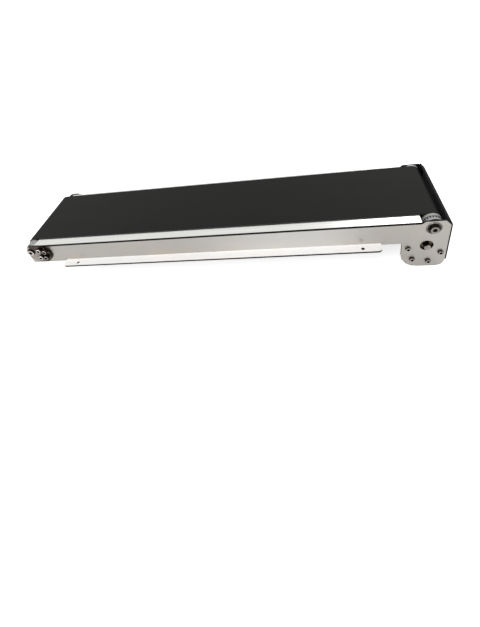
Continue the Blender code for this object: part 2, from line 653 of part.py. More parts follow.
def end_cover(surfaces):
    """Black guard: an upright wall and a lip laid along the plates' sloping corners, with two wings."""
    top = Vector((DRIVE_X + EAR_FRONT, BELT_TOP - EAR_DROP))
    foot = Vector((DRIVE_X + DRIVE_END, BELT_TOP - CHAMFER_DROP))
    along = (foot - top).normalized()
    out = Vector((-along.y, along.x))

    def lip_line(away):
        """Start of the lip and its meeting with the wall, at a distance from the plate's edges."""
        start = top + out * away + along * 0.0006
        wall = DRIVE_X + DRIVE_END + away
        meet = start + along * (wall - start.x) / along.x
        return start, meet

    inner_start, inner_meet = lip_line(GAP)
    outer_start, outer_meet = lip_line(GAP + COVER_THICK)
    wall_foot = BELT_TOP - COVER_FOOT
    mesh_data = bmesh.new()
    add_prism(mesh_data, [inner_start, inner_meet, (inner_meet.x, wall_foot), (outer_meet.x, wall_foot),
                          outer_meet, outer_start], -PLATE_OUT, PLATE_OUT)
    cover = finish("end_cover", mesh_data, surfaces["black"], smooth=False)

    middle_start, middle_meet = lip_line(GAP + COVER_THICK / 2)
    wing_foot = AXIS_Z - 0.003
    wing_top = BELT_TOP - EAR_DROP - 0.0002
    front = DRIVE_X + ROLL_RADIUS + WING_ROOM
    outline = [(front, wing_top), middle_start, middle_meet, (middle_meet.x, wing_foot), (front, wing_foot)]
    for side in (FAR, NEAR):
        low, high = sorted((side * (PLATE_IN - GAP - COVER_THICK), side * (PLATE_IN - GAP)))
        wing = cutter(f"end_cover_wing_{side + 2}", surfaces["black"], [outline], low, high)
        combine(cover, wing, "UNION")

    holes = [circle(side * (PLATE_IN - COVER_TAB_REACH / 2), z, M3["shank"] + HOLE_SLACK, 12)
             for side in (NEAR, FAR) for z in cover_screw_heights()]
    combine(cover, cutter("end_cover_holes", surfaces["black"], holes, inner_meet.x - 0.001, outer_meet.x + 0.001,
                          "X"), "DIFFERENCE")
    number = 1
    for side in (NEAR, FAR):
        for z in cover_screw_heights():
            place = (DRIVE_X + COVER_SCREW_SEAT, side * (PLATE_IN - COVER_TAB_REACH / 2), z)
            screw(f"cover_screw_{number}", surfaces["steel"], M3_BUTTON, 0.005, place, "+X")
            number += 1


# ---------------------------------------------------------------- tail
def tail_roller(surfaces):
    """Tube on two bearings that turn on a fixed axle."""
    reach = PLATE_IN - TAIL_ROLLER_END_GAP
    inner = ROLLER_RADIUS - TAIL_ROLLER_WALL
    tube = turned("tail_roller", surfaces["roller"],
                  [(-reach, inner), (-reach, ROLLER_RADIUS - ROLLER_CHAMFER), (-reach + ROLLER_CHAMFER, ROLLER_RADIUS),
                   (reach - ROLLER_CHAMFER, ROLLER_RADIUS), (reach, ROLLER_RADIUS - ROLLER_CHAMFER),
                   (reach, inner)], 32, (TAIL_X, 0, AXIS_Z), closed=True)
    turning = [tube]
    for side, word in ((NEAR, "near"), (FAR, "far")):
        low, high = sorted((side * reach, side * (reach - TAIL_BEARING_WIDTH)))
        turning.append(ring(f"tail_bearing_{word}", surfaces["bearing"], AXLE_RADIUS + GAP, inner - GAP, low, high,
                            24, TAIL_X, AXIS_Z))
    return turning


def take_up(surfaces):
    """Fixed axle between two brackets that slide under their clamp screws."""
    bracket_face = PLATE_OUT + GAP
    axle_end = bracket_face + BRACKET_THICK
    tapped = M4_LOW["shank"] + HOLE_SLACK
    axle = turned("tail_axle", surfaces["steel"],
                  [(-axle_end + 0.010, tapped), (-axle_end, tapped), (-axle_end, AXLE_RADIUS), (axle_end, AXLE_RADIUS),
                   (axle_end, tapped), (axle_end - 0.010, tapped)], 24, (TAIL_X, 0, AXIS_Z))
    sliding = [axle]
    centre_x = TAIL_X + BRACKET_CENTRE[0]
    centre_z = BELT_TOP + BRACKET_CENTRE[1]
    straight = BRACKET_HALF_WIDTH - BRACKET_HALF_HEIGHT
    screw_slot = M3["shank"] + HOLE_SLACK
    for side, word in ((NEAR, "near"), (FAR, "far")):
        low, high = sorted((side * bracket_face, side * (bracket_face + BRACKET_THICK)))
        mesh_data = bmesh.new()
        add_prism(mesh_data, slot(centre_x - straight, centre_x + straight, centre_z, BRACKET_HALF_HEIGHT, 16),
                  low, high)
        bracket = finish(f"take_up_bracket_{word}", mesh_data, surfaces["chrome"])
        openings = [circle(TAIL_X, AXIS_Z, AXLE_RADIUS + GAP, 24)]
        openings += [slot(x - TAKE_UP, x, z, screw_slot, 6) for x, z in clamp_places()]
        combine(bracket, cutter(f"take_up_bracket_{word}_slots", surfaces["chrome"], openings, low - 0.001,
                                high + 0.001), "DIFFERENCE")
        sliding.append(bracket)
        facing = "-Y" if side == NEAR else "+Y"
        under_head = side * (bracket_face + BRACKET_THICK + GAP)
        sliding.append(screw(f"tail_axle_screw_{word}", surfaces["steel"], M4_LOW, 0.009, (TAIL_X, under_head, AXIS_Z),
                             facing, 18))
        for number, (x, z) in enumerate(clamp_places(), 1):
            screw(f"clamp_screw_{word}_{number}", surfaces["steel"], M3, 0.0045, (x, under_head, z), facing)
    return sliding


def main():
    for old in list(bpy.data.objects):
        bpy.data.objects.remove(old, do_unlink=True)
    surfaces = make_materials()
    side_plate("side_plate_near", NEAR, surfaces["plate"])
    side_plate("side_plate_far", FAR, surfaces["plate"])
    slider_bed(surfaces["bed"])
    cross_bars(surfaces["bar"], surfaces["steel"])
    conveyor_belt(surfaces["belt"])
    timing_belt(surfaces["urethane"])

    turning = [drive_roller(surfaces["roller"])] + drive_end_pieces(surfaces)
    turning.append(pulley("driven_pulley", surfaces["roller"], JOURNAL_RADIUS + GAP, DRIVE_X, AXIS_Z))
    carry(axis_empty("drive_axis", DRIVE_X, AXIS_Z), turning)

    driving = gear_motor(surfaces)
    driving.append(pulley("motor_pulley", surfaces["dark_pulley"], SHAFT_RADIUS + GAP, SHAFT_X, SHAFT_Z))
    carry(axis_empty("motor_axis", SHAFT_X, SHAFT_Z), driving)
    motor_fixings(surfaces)
    end_cover(surfaces)

    carry(axis_empty("tail_axis", TAIL_X, AXIS_Z), tail_roller(surfaces) + take_up(surfaces))


main()
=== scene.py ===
"""A small belt conveyor section: sheet side plates, a slider bed, a flat black belt, a gear motor
drive at one end and a sliding take-up at the other. Metres, X along the belt towards the drive
end, Z up."""

import json
import math

import bmesh
import bpy
from mathutils import Matrix, Vector


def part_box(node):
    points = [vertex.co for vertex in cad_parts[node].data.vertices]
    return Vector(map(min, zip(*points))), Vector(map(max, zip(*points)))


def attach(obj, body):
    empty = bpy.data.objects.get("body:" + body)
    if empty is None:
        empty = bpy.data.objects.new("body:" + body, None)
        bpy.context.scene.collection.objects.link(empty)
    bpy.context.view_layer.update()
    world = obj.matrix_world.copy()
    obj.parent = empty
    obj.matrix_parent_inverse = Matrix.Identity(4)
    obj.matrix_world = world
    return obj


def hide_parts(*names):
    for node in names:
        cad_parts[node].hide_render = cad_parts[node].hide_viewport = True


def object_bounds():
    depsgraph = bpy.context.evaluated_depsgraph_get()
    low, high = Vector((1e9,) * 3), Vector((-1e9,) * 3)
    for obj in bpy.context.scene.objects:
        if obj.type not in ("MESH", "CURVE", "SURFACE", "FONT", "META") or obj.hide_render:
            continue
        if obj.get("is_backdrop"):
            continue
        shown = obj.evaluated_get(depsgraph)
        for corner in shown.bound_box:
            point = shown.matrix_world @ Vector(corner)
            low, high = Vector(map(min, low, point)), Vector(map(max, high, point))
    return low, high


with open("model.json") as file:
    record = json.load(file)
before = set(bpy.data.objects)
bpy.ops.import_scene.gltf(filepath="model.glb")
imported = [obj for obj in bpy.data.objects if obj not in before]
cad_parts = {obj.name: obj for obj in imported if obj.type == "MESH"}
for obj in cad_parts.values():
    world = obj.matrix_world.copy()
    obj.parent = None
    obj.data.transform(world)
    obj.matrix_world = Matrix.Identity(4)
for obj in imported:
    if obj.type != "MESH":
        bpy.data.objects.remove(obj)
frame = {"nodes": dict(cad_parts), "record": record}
cad_low, cad_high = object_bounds()

# ---------------------------------------------------------------- camera
# A wide lens close to the conveyor, above the near side and left of the drive end. The lens is
# shifted so that the conveyor sits in the upper part of an upright format.
camera_data = bpy.data.cameras.new("camera")
camera_data.lens = 21.29
camera_data.shift_y = -0.173
camera = bpy.data.objects.new("camera", camera_data)
camera.location = (0.1072, -0.3258, 0.3080)
camera.rotation_euler = [math.radians(angle) for angle in (52.64, 10.50, 6.60)]
bpy.context.scene.collection.objects.link(camera)
bpy.context.scene.camera = camera
bpy.context.scene.view_settings.view_transform = "Standard"

# ---------------------------------------------------------------- material tools
# Every material below is a tree of procedural nodes laid out in the piece's own metres. These
# functions add the nodes and lead them into the shader's sockets.
SHADER = "Principled BSDF"
BUMP_DEPTH = 0.0002


def linear(hex_colour):
    """Turn an sRGB hex colour into linear red, green, blue and alpha."""
    parts = [int(hex_colour[k:k + 2], 16) / 255 for k in (1, 3, 5)]
    return (*[p / 12.92 if p <= 0.04045 else ((p + 0.055) / 1.055) ** 2.4 for p in parts], 1.0)


def add_node(tree, kind, values=None, **settings):
    """Add a node. settings are its options; values fills or links its inputs by name or number."""
    made = tree.nodes.new(kind)
    for option, value in settings.items():
        setattr(made, option, value)
    for socket, value in (values or {}).items():
        if isinstance(value, bpy.types.NodeSocket):
            tree.links.new(value, made.inputs[socket])
        else:
            made.inputs[socket].default_value = value
    return made


def object_place(tree):
    return add_node(tree, "ShaderNodeTexCoord").outputs["Object"]


def new_material(name, shader_values):
    """Start a material from its shader's constants. Returns it, its tree and its place socket."""
    made = bpy.data.materials.new(name)
    made.use_nodes = True
    for socket, value in shader_values.items():
        made.node_tree.nodes[SHADER].inputs[socket].default_value = value
    return made, made.node_tree, object_place(made.node_tree)


def lead(tree, value, socket):
    """Link a value into a socket of the material's shader."""
    tree.links.new(value, tree.nodes[SHADER].inputs[socket])


def noise(tree, place, scale, detail, stretch=None):
    """Soft noise from 0 to 1. stretch, if given, first scales the place along each axis."""
    if stretch:
        place = add_node(tree, "ShaderNodeMapping", {"Vector": place, "Scale": stretch}).outputs[0]
    made = add_node(tree, "ShaderNodeTexNoise", {"Vector": place, "Scale": scale, "Detail": detail})
    return made.outputs["Fac"]


def reckon(tree, operation, first, second=None, clamp=False):
    """Work one number out from one or two others."""
    values = {0: first} if second is None else {0: first, 1: second}
    made = add_node(tree, "ShaderNodeMath", values, operation=operation, use_clamp=clamp)
    return made.outputs[0]


def ranged(tree, value, given=(0.0, 1.0), wanted=(0.0, 1.0), form="LINEAR"):
    """Map a value from its given range onto the wanted one, held at both ends."""
    values = {"Value": value, "From Min": given[0], "From Max": given[1],
              "To Min": wanted[0], "To Max": wanted[1]}
    return add_node(tree, "ShaderNodeMapRange", values, interpolation_type=form).outputs[0]


def mixed(tree, share, first, second):
    """Mix two colours, each a hex text, a linear colour or a socket."""
    ends = [linear(end) if isinstance(end, str) else end for end in (first, second)]
    values = {"Factor": share, "A": ends[0], "B": ends[1]}
    return add_node(tree, "ShaderNodeMix", values, data_type="RGBA").outputs["Result"]


def coloured(tree, share, first, second):
    """Give the material a mix of two colours."""
    lead(tree, mixed(tree, share, first, second), "Base Color")


def bumped(tree, height, strength, depth=BUMP_DEPTH):
    made = add_node(tree, "ShaderNodeBump", {"Height": height, "Strength": strength,
                                             "Distance": depth})
    lead(tree, made.outputs[0], "Normal")


# ---------------------------------------------------------------- studio
# A white paper floor under an even white surround, with one large soft lamp above the near side
# and a smaller one beyond the far side, as in a catalogue.
FLOOR_SIZE = 12.0
FLOOR_GAP = 0.0002            # keeps the floor just clear of the flanges' undersides
PAPER_TOOTH = 90.0
PAPER_LIFT = 0.72             # light added to the paper where it is looked at directly
SURROUND_LIGHT = 0.62         # strength that lights the conveyor; the surround itself shows white


def white_paper():
    """Matt background paper, lifted towards plain white where it is looked at directly."""
    made, tree, place = new_material("background_paper", {
        "Roughness": 0.9, "Specular IOR Level": 0.1, "Emission Color": (1, 1, 1, 1)})
    coloured(tree, noise(tree, place, PAPER_TOOTH, 3.0), "#fbfbfb", "#fefefe")
    seen = add_node(tree, "ShaderNodeLightPath").outputs["Is Camera Ray"]
    lead(tree, reckon(tree, "MULTIPLY", seen, PAPER_LIFT), "Emission Strength")
    return made


def paper_floor():
    mesh = bpy.data.meshes.new("floor")
    half = FLOOR_SIZE / 2
    corners = [(-half, -half, 0), (half, -half, 0), (half, half, 0), (-half, half, 0)]
    mesh.from_pydata(corners, [], [(0, 1, 2, 3)])
    mesh.materials.append(white_paper())
    made = bpy.data.objects.new("floor", mesh)
    bpy.context.scene.collection.objects.link(made)
    made.location.z = cad_low.z - FLOOR_GAP
    made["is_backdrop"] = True


def white_surround():
    """Even white light from all round, and plain white where the camera sees past the floor."""
    world = bpy.data.worlds.new("surround")
    bpy.context.scene.world = world
    world.use_nodes = True
    tree = world.node_tree
    tree.nodes.clear()
    path = add_node(tree, "ShaderNodeLightPath").outputs
    seen = reckon(tree, "MAXIMUM", path["Is Camera Ray"], path["Is Glossy Ray"])
    seen = reckon(tree, "MAXIMUM", seen, path["Is Transmission Ray"])
    light = add_node(tree, "ShaderNodeBackground", {
        "Color": (1, 1, 1, 1), "Strength": ranged(tree, seen, wanted=(SURROUND_LIGHT, 1.0))})
    add_node(tree, "ShaderNodeOutputWorld", {"Surface": light.outputs[0]})


def soft_lamp(name, place, size, watts):
    """A round lamp that shines towards the middle of the conveyor."""
    data = bpy.data.lights.new(name, "AREA")
    data.shape = "DISK"
    data.size = size
    data.energy = watts
    made = bpy.data.objects.new(name, data)
    made.location = place
    made.rotation_mode = "QUATERNION"
    made.rotation_quaternion = (-Vector(place)).to_track_quat("-Z", "Y")
    bpy.context.scene.collection.objects.link(made)


paper_floor()
white_surround()
soft_lamp("key_lamp", (-0.5, -1.0, 1.7), 1.4, 16.0)
soft_lamp("back_lamp", (0.7, 1.1, 1.3), 0.9, 5.0)

# ---------------------------------------------------------------- piece tools
# Places are read from the frame's nodes, and every finished mesh takes the place of one node.
# Sheet pieces are copies of their node with the edges eased, as deburring leaves them.
EDGE_BREAK = 0.00018
SAME_POINT = 0.000002
FLAT_WITHIN = math.radians(0.6)
EASE_ABOVE = math.radians(35)
SHARP_ABOVE = 30.0            # degrees


def body_of(node):
    """The body that a node of the frame belongs to."""
    bodies = frame["record"]["behaviour"]["bodies"]
    return next(body for body, members in bodies.items() if node in members)


def mount_place(name):
    """Place of a mount of the record."""
    mounts = frame["record"]["mounts"]
    return Vector(next(mount["pos_m"] for mount in mounts if mount["name"] == name))


def middle(node):
    low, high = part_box(node)
    return (low + high) / 2


def radius_of(node):
    low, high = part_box(node)
    return (high.z - low.z) / 2


def stand_for(made, node):
    """Put a finished piece in the place of a node of the frame, on the same body, and hide the node.
    """
    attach(made, body_of(node))
    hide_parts(node)
    return made


def skin(mesh_data, first, second, finish):
    """Faces from one ring of points to the next. finish is their material, or a rule for it."""
    for k in range(len(first)):
        after = (k + 1) % len(first)
        face = mesh_data.faces.new((first[k], first[after], second[after], second[k]))
        face.material_index = finish(k) if callable(finish) else finish


def close_ends(mesh_data, rings, first_finish, last_finish):
    """Close the first and the last ring of a body with one face each."""
    mesh_data.faces.new(rings[0]).material_index = first_finish
    mesh_data.faces.new(reversed(rings[-1])).material_index = last_finish


def smooth_between_edges(mesh, sharp):
    mesh.shade_smooth()
    mesh.set_sharp_from_angle(angle=math.radians(sharp))


def finish_mesh(mesh_data, name, materials, sharp=SHARP_ABOVE):
    """Turn a bmesh into an object with smooth faces between sharp edges."""
    bmesh.ops.recalc_face_normals(mesh_data, faces=mesh_data.faces)
    mesh = bpy.data.meshes.new(name)
    mesh_data.to_mesh(mesh)
    mesh_data.free()
    smooth_between_edges(mesh, sharp)
    for material in materials:
        mesh.materials.append(material)
    made = bpy.data.objects.new(name, mesh)
    bpy.context.scene.collection.objects.link(made)
    return made


def eased(node, materials, width=EDGE_BREAK, finish_of=None):
    """A copy of a node with its sharp edges broken, in place of the node.

    finish_of, if given, picks a face's material from its normal and its middle.
    """
    source = frame["nodes"][node]
    mesh_data = bmesh.new()
    mesh_data.from_mesh(source.data)
    mesh_data.transform(source.matrix_world)
    bmesh.ops.remove_doubles(mesh_data, verts=mesh_data.verts, dist=SAME_POINT)
    bmesh.ops.dissolve_limit(mesh_data, angle_limit=FLAT_WITHIN, verts=mesh_data.verts,
                             edges=mesh_data.edges)
    sharp = [edge for edge in mesh_data.edges
             if edge.is_manifold and edge.calc_face_angle(0) > EASE_ABOVE]
    bmesh.ops.bevel(mesh_data, geom=sharp, offset=width, segments=2, profile=0.5,
                    affect="EDGES", clamp_overlap=True)
    if finish_of:
        mesh_data.normal_update()
        for face in mesh_data.faces:
            face.material_index = finish_of(face.normal, face.calc_center_median())
    made = finish_mesh(mesh_data, node + "_eased", materials)
    flat = made.modifiers.new("flat_faces", "WEIGHTED_NORMAL")
    flat.weight = 100
    flat.keep_sharp = True
    return stand_for(made, node)


# ---------------------------------------------------------------- side plates
# Two laser-cut plates of 2 mm stainless sheet, with the mounting flange bent outward and a small
# tab bent inward. The faces keep the satin grain of the rolled sheet. The cut edges and their eased
# corners are nearly black, partly the laser's burn and partly painted shade. The flange's top is
# painted near white as painted light, a run of the web is painted lighter as a painted highlight,
# and the inner faces round the drive roller are darkened as painted shade.
SHEET_GRAIN = 0.0016          # real grain is about 0.1 mm wide; drawn coarser so that it shows
SHEET_GRAIN_LENGTH = 0.110
SHEET_PATCHES = 22.0          # warm patches, a few centimetres across
CUT_STRIATION = 0.0006        # striations across a cut edge
CUT_STRETCH = 40.0
SHADE_REACH = (0.024, 0.014)   # from the roller's axis: where the painted shade ends and where it is full
RUN_RISE = (-0.24, -0.12)     # painted highlight on the web, along X from the motor lobe
RUN_FALL = (-0.085, -0.015)


def satin_sheet(name, hex_dark, hex_light, roughness, grain_depth=0.04, metallic=1.0):
    """Satin sheet: an even grey that takes the light in long faint streaks, with warm patches."""
    made, tree, place = new_material(name, {"Metallic": metallic, "Roughness": roughness})
    grain = noise(tree, place, 1.0, 4.0,
                  (1 / SHEET_GRAIN_LENGTH, 1 / SHEET_GRAIN, 1 / SHEET_GRAIN))
    patches = ranged(tree, noise(tree, place, SHEET_PATCHES, 2.0), (0.45, 0.7))
    red, green, blue, _ = linear(hex_light)
    warm = (red * 1.01, green * 0.985, blue * 0.955, 1.0)
    coloured(tree, patches, mixed(tree, grain, hex_dark, hex_light), warm)
    lead(tree, ranged(tree, grain, wanted=(roughness - 0.02, roughness + 0.03)), "Roughness")
    bumped(tree, grain, grain_depth)
    return made


def cut_edge(name, hex_dark, hex_light):
    """Cut edge: nearly black, partly the laser's burn and partly painted shade, with fine striations
    across the sheet.
    """
    made, tree, place = new_material(name, {"Metallic": 1.0, "Roughness": 0.5})
    lines = noise(tree, place, 1.0, 2.0, (1 / CUT_STRIATION, CUT_STRETCH, 1 / CUT_STRIATION))
    coloured(tree, lines, hex_dark, hex_light)
    bumped(tree, lines, 0.2)
    return made


def colour_over(material, share, hex_colour):
    """Lay another colour over a finished material, by a share from 0 to 1."""
    tree = material.node_tree
    below = tree.nodes[SHADER].inputs["Base Color"].links[0].from_socket
    coloured(tree, share, below, hex_colour)


def painted_highlight_run(material):
    """A painted highlight: the web's run ahead of the motor is painted brighter than both its ends.
    """
    tree = material.node_tree
    along = add_node(tree, "ShaderNodeSeparateXYZ", {0: object_place(tree)}).outputs["X"]
    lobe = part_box("gearbox")[0].x
    rise = ranged(tree, along, [lobe + x for x in RUN_RISE], form="SMOOTHSTEP")
    fall = ranged(tree, along, [lobe + x for x in RUN_FALL], (1.0, 0.0), "SMOOTHSTEP")
    colour_over(material, reckon(tree, "MULTIPLY", rise, fall), "#d5d3d0")


def painted_inner_shade(material):
    """Painted shade, nearly black, on the inner faces of the plates round the drive roller."""
    tree = material.node_tree
    place = object_place(tree)
    across = add_node(tree, "ShaderNodeSeparateXYZ", {0: place}).outputs["Y"]
    roller = middle("drive_roller")
    away = add_node(tree, "ShaderNodeVectorMath", {0: place, 1: (roller.x, 0, roller.z)},
                    operation="SUBTRACT").outputs[0]
    away = add_node(tree, "ShaderNodeVectorMath", {0: away, 1: (1, 0, 1)},
                    operation="MULTIPLY").outputs[0]
    reach = add_node(tree, "ShaderNodeVectorMath", {0: away}, operation="LENGTH").outputs["Value"]
    near = ranged(tree, reach, (SHADE_REACH[1], SHADE_REACH[0]), (1.0, 0.0))
    inner_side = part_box("slider_bed")[1].y - 0.001
    inside = reckon(tree, "LESS_THAN", reckon(tree, "ABSOLUTE", across), inner_side)
    colour_over(material, reckon(tree, "MULTIPLY", near, inside), "#171615")


def plate_finish(node):
    """Which faces of a side plate are rolled sheet (0), dark edge with painted shade (1) or flange
    top painted as light (2).
    """
    low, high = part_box(node)
    tip = max(abs(low.y), abs(high.y))
    web_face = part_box("slider_bed")[1].y
    flange_start = web_face + 0.0001
    flange_foot = mount_place("foot_near").z
    bend_from, bend_to = flange_foot - 0.0005, flange_foot + 0.0032
    bend_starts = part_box("cross_bar_1")[0].x - 0.02
    bend_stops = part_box("gearbox")[0].x - 0.012

    def pick(normal, centre):
        out = abs(centre.y)
        if out > flange_start:
            if normal.z > 0.7:
                return 2
            lip = abs(normal.y) > 0.5 and out > (web_face + tip) / 2
            return 1 if abs(normal.x) > 0.5 or lip else 0
        bend = bend_from < centre.z < bend_to and abs(normal.x) < 0.3 and normal.z < -0.1
        if bend and bend_starts < centre.x < bend_stops:
            return 0
        # Edges and their eased corners take the dark edge finish, burn and painted shade together.
        return 1 if abs(normal.y) < 0.9 else 0

    return pick


def hole_shade_disc():
    """A thin black disc just below the surface of the near flange's drive-end hole, as painted shade
    filling the hole.
    """
    from_lobe, from_tip, above_foot = 0.0403, 0.0041, 0.0013
    place = Vector((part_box("gearbox")[0].x - from_lobe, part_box("side_plate_near")[0].y + from_tip,
                    mount_place("foot_near").z + above_foot))
    mesh_data = bmesh.new()
    bmesh.ops.create_cone(mesh_data, cap_ends=True, segments=32, radius1=0.0016, radius2=0.0015,
                          depth=0.0008)
    bmesh.ops.translate(mesh_data, verts=mesh_data.verts, vec=place)
    made = finish_mesh(mesh_data, "hole_shade_disc", (edge_burn_and_shade,))
    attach(made, body_of("side_plate_near"))


plate_face = satin_sheet("satin_stainless_sheet", "#b9b6b1", "#c0bdb8", 0.36, 0.02)
painted_highlight_run(plate_face)
painted_inner_shade(plate_face)
edge_burn_and_shade = cut_edge("laser_burn_and_painted_shade_edge", "#110f0e", "#2c2826")
# The flange's top is the same sheet, painted near white and not metallic as painted light.
flange_top = satin_sheet("flange_top_painted_light", "#fbfaf8", "#ffffff", 0.6, metallic=0.0)
for side in ("near", "far"):
    eased(f"side_plate_{side}", (plate_face, edge_burn_and_shade, flange_top),
          finish_of=plate_finish(f"side_plate_{side}"))
hole_shade_disc()


# ---------------------------------------------------------------- slider bed
# One flat bright stainless sheet lying on the top edges of both plates. The belt slides on its
# middle, and its margins show beside the belt. Its edges take the dark edge finish, painted shade
# for the seam under the margins.
ROLLING_LINES = (14.0, 700.0, 700.0)


def bright_sheet():
    """Bright cold-rolled stainless: nearly white under a soft sky, with faint rolling lines."""
    made, tree, place = new_material("bright_stainless_sheet", {"Metallic": 1.0, "Roughness": 0.24})
    lines = noise(tree, place, 1.0, 5.0, ROLLING_LINES)
    coloured(tree, lines, "#cfcfcb", "#eeeeec")
    lead(tree, ranged(tree, lines, wanted=(0.16, 0.34)), "Roughness")
    return made


eased("slider_bed", (bright_sheet(), edge_burn_and_shade),
      finish_of=lambda normal, centre: 0 if abs(normal.z) > 0.9 else 1)

# ---------------------------------------------------------------- cross bars
# Three drawn aluminium flats between the plates, under the bed, each with two countersunk screws.
# Their corners are rounder than the sheet's, as drawing leaves them.
DRAWN_CORNER = 0.0003
bar_metal = satin_sheet("drawn_aluminium_flat", "#b4b4b2", "#c6c6c4", 0.40, 0.1)
for number in (1, 2, 3):
    eased(f"cross_bar_{number}", (bar_metal,), DRAWN_CORNER)

# ---------------------------------------------------------------- conveyor belt
# An endless two-layer belt: a matt black PVC cover 0.7 mm thick on a woven polyester ply that
# slides on the bed. The ply shows inside the loop and in the inner part of both cut edges.
WEAVE_PITCH = 0.0009          # thread spacing of the ply
COVER_TEXTURE = 0.0008        # real emboss is about 0.2 mm; drawn coarser so that it shows
COVER_WEAR = (4.0, 55.0, 4.0)
PLY_SHARE = 0.4               # of the belt's thickness
BELT_CORNER = 0.0002
RUNNING_GAP = 0.0003          # between a turning piece and what it runs in


def pvc_cover():
    """Matt black PVC: soft charcoal with a fine embossed tooth and faint lengthwise wear."""
    made, tree, place = new_material("matt_black_pvc", {"Roughness": 0.6, "IOR": 1.53,
                                                        "Specular IOR Level": 0.11})
    tooth = noise(tree, place, 1 / COVER_TEXTURE, 3.0)
    wear = noise(tree, place, 1.0, 5.0, COVER_WEAR)
    share = ranged(tree, reckon(tree, "MULTIPLY", tooth, wear), (0.1, 0.45))
    coloured(tree, share, "#121211", "#1d1c1b")
    lead(tree, ranged(tree, wear, wanted=(0.5, 0.72)), "Roughness")
    bumped(tree, tooth, 0.35)
    return made


def woven_ply():
    """Polyester ply: grey threads crossing at right angles."""
    made, tree, place = new_material("woven_polyester_ply", {"Roughness": 0.85,
                                                             "Specular IOR Level": 0.2})
    scale = 1 / WEAVE_PITCH / math.tau
    threads = [add_node(tree, "ShaderNodeTexWave", {"Vector": place, "Scale": scale},
                        wave_type="BANDS", bands_direction=direction).outputs["Fac"]
               for direction in ("X", "Y")]
    crossed = reckon(tree, "MULTIPLY", *threads)
    coloured(tree, crossed, "#3a3a38", "#6d6d69")
    bumped(tree, crossed, 0.5, 0.0003)
    return made


def band(name, centres, stations, steps, materials, material_rule):
    """An endless belt round two circles. stations are (distance from the axes, y) in section."""
    start, stop = centres
    heading = math.atan2(stop[1] - start[1], stop[0] - start[0])
    mesh_data = bmesh.new()
    sections = []
    for centre, first in ((stop, -0.5), (start, 0.5)):
        for step in range(steps + 1):
            turn = heading + math.pi * (first + step / steps)
            sections.append([
                mesh_data.verts.new((centre[0] + r * math.cos(turn), y,
                                     centre[1] + r * math.sin(turn)))
                for r, y in stations])
    for section, following in zip(sections, sections[1:] + sections[:1]):
        skin(mesh_data, section, following, material_rule)
    return finish_mesh(mesh_data, name, materials)


def conveyor_belt():
    low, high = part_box("conveyor_belt")
    outer = (high.z - low.z) / 2
    inner = radius_of("tail_roller") + RUNNING_GAP
    ply = inner + (outer - inner) * PLY_SHARE
    section = [(outer - BELT_CORNER, low.y), (outer, low.y + BELT_CORNER),
               (outer, high.y - BELT_CORNER), (outer - BELT_CORNER, high.y),
               (ply, high.y), (inner, high.y), (inner, low.y), (ply, low.y)]
    drive, tail = middle("drive_roller"), middle("tail_roller")
    belt = band("conveyor_belt_cloth", ((tail.x, tail.z), (drive.x, drive.z)), section, 40,
                (pvc_cover(), woven_ply()), lambda k: 1 if 4 <= k <= 6 else 0)
    stand_for(belt, "conveyor_belt")


conveyor_belt()

# ---------------------------------------------------------------- turned pieces
# Rollers, pulleys, bearings, spacers and the motor are all turned on a lathe. Each is drawn from
# its own profile along Y, with a finish for every band of the profile.
TOOL_MARK = 0.00035           # real feed marks are about 0.05 mm; drawn coarser so that they show
ROUND_STRETCH = 25.0
MOULD_TOOTH = 0.0007


def turned_metal(name, hex_dark, hex_light, roughness, cloud_scale=350.0):
    """Turned metal: fine feed marks round the piece, clouded by handling."""
    made, tree, place = new_material(name, {"Metallic": 1.0, "Roughness": roughness})
    marks = noise(tree, place, 1.0, 2.0, (ROUND_STRETCH, 1 / TOOL_MARK, ROUND_STRETCH))
    cloud = noise(tree, place, cloud_scale, 3.0)
    share = ranged(tree, reckon(tree, "ADD", marks, cloud), (0.7, 1.3))
    coloured(tree, share, hex_dark, hex_light)
    lead(tree, ranged(tree, share, wanted=(roughness - 0.05, roughness + 0.10)), "Roughness")
    bumped(tree, marks, 0.08)
    return made


def moulded(name, hex_dark, hex_light, roughness, grain=MOULD_TOOTH, specular=0.4, metallic=0.0):
    """Moulded plastic, rubber or cast metal: even, with a fine tooth of the given size."""
    made, tree, place = new_material(name, {"Metallic": metallic, "Roughness": roughness,
                                            "Specular IOR Level": specular})
    tooth = noise(tree, place, 1 / grain, 2.0)
    coloured(tree, tooth, hex_dark, hex_light)
    bumped(tree, tooth, 0.15)
    return made


def lathe_rings(mesh_data, centre, stations, steps, closed, shape=None):
    """Add a turned body. stations are (y, radius, material) along the profile; the material is
    of the band from that station to the next. shape, if given, returns the radius at a station
    and an angle."""
    rings = []
    for number, (y, radius, _) in enumerate(stations):
        ring = []
        for k in range(steps):
            turn = math.tau * k / steps
            r = shape(number, turn, radius) if shape else radius
            ring.append(mesh_data.verts.new((centre.x + r * math.cos(turn), y,
                                             centre.z + r * math.sin(turn))))
        rings.append(ring)
    pairs = list(zip(rings, rings[1:], stations))
    if closed:
        pairs.append((rings[-1], rings[0], stations[-1]))
    else:
        close_ends(mesh_data, rings, stations[0][2], stations[-1][2])
    for first, second, station in pairs:
        skin(mesh_data, first, second, station[2])


def lathe(node, stations, materials, steps=64, closed=False, shape=None):
    """A turned piece in place of a node, round the middle of that node's box."""
    mesh_data = bmesh.new()
    lathe_rings(mesh_data, middle(node), stations, steps, closed, shape)
    return stand_for(finish_mesh(mesh_data, node + "_turned", materials), node)


def turned_tube(node, bore, corner, material, steps):
    """A plain tube or ring with its outer corners eased, in place of a node."""
    low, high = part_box(node)
    rim = radius_of(node)
    lathe(node, [(low.y, bore, 0), (low.y, rim - corner, 0), (low.y + corner, rim, 0),
                 (high.y - corner, rim, 0), (high.y, rim - corner, 0), (high.y, bore, 0)],
          (material,), steps, closed=True)
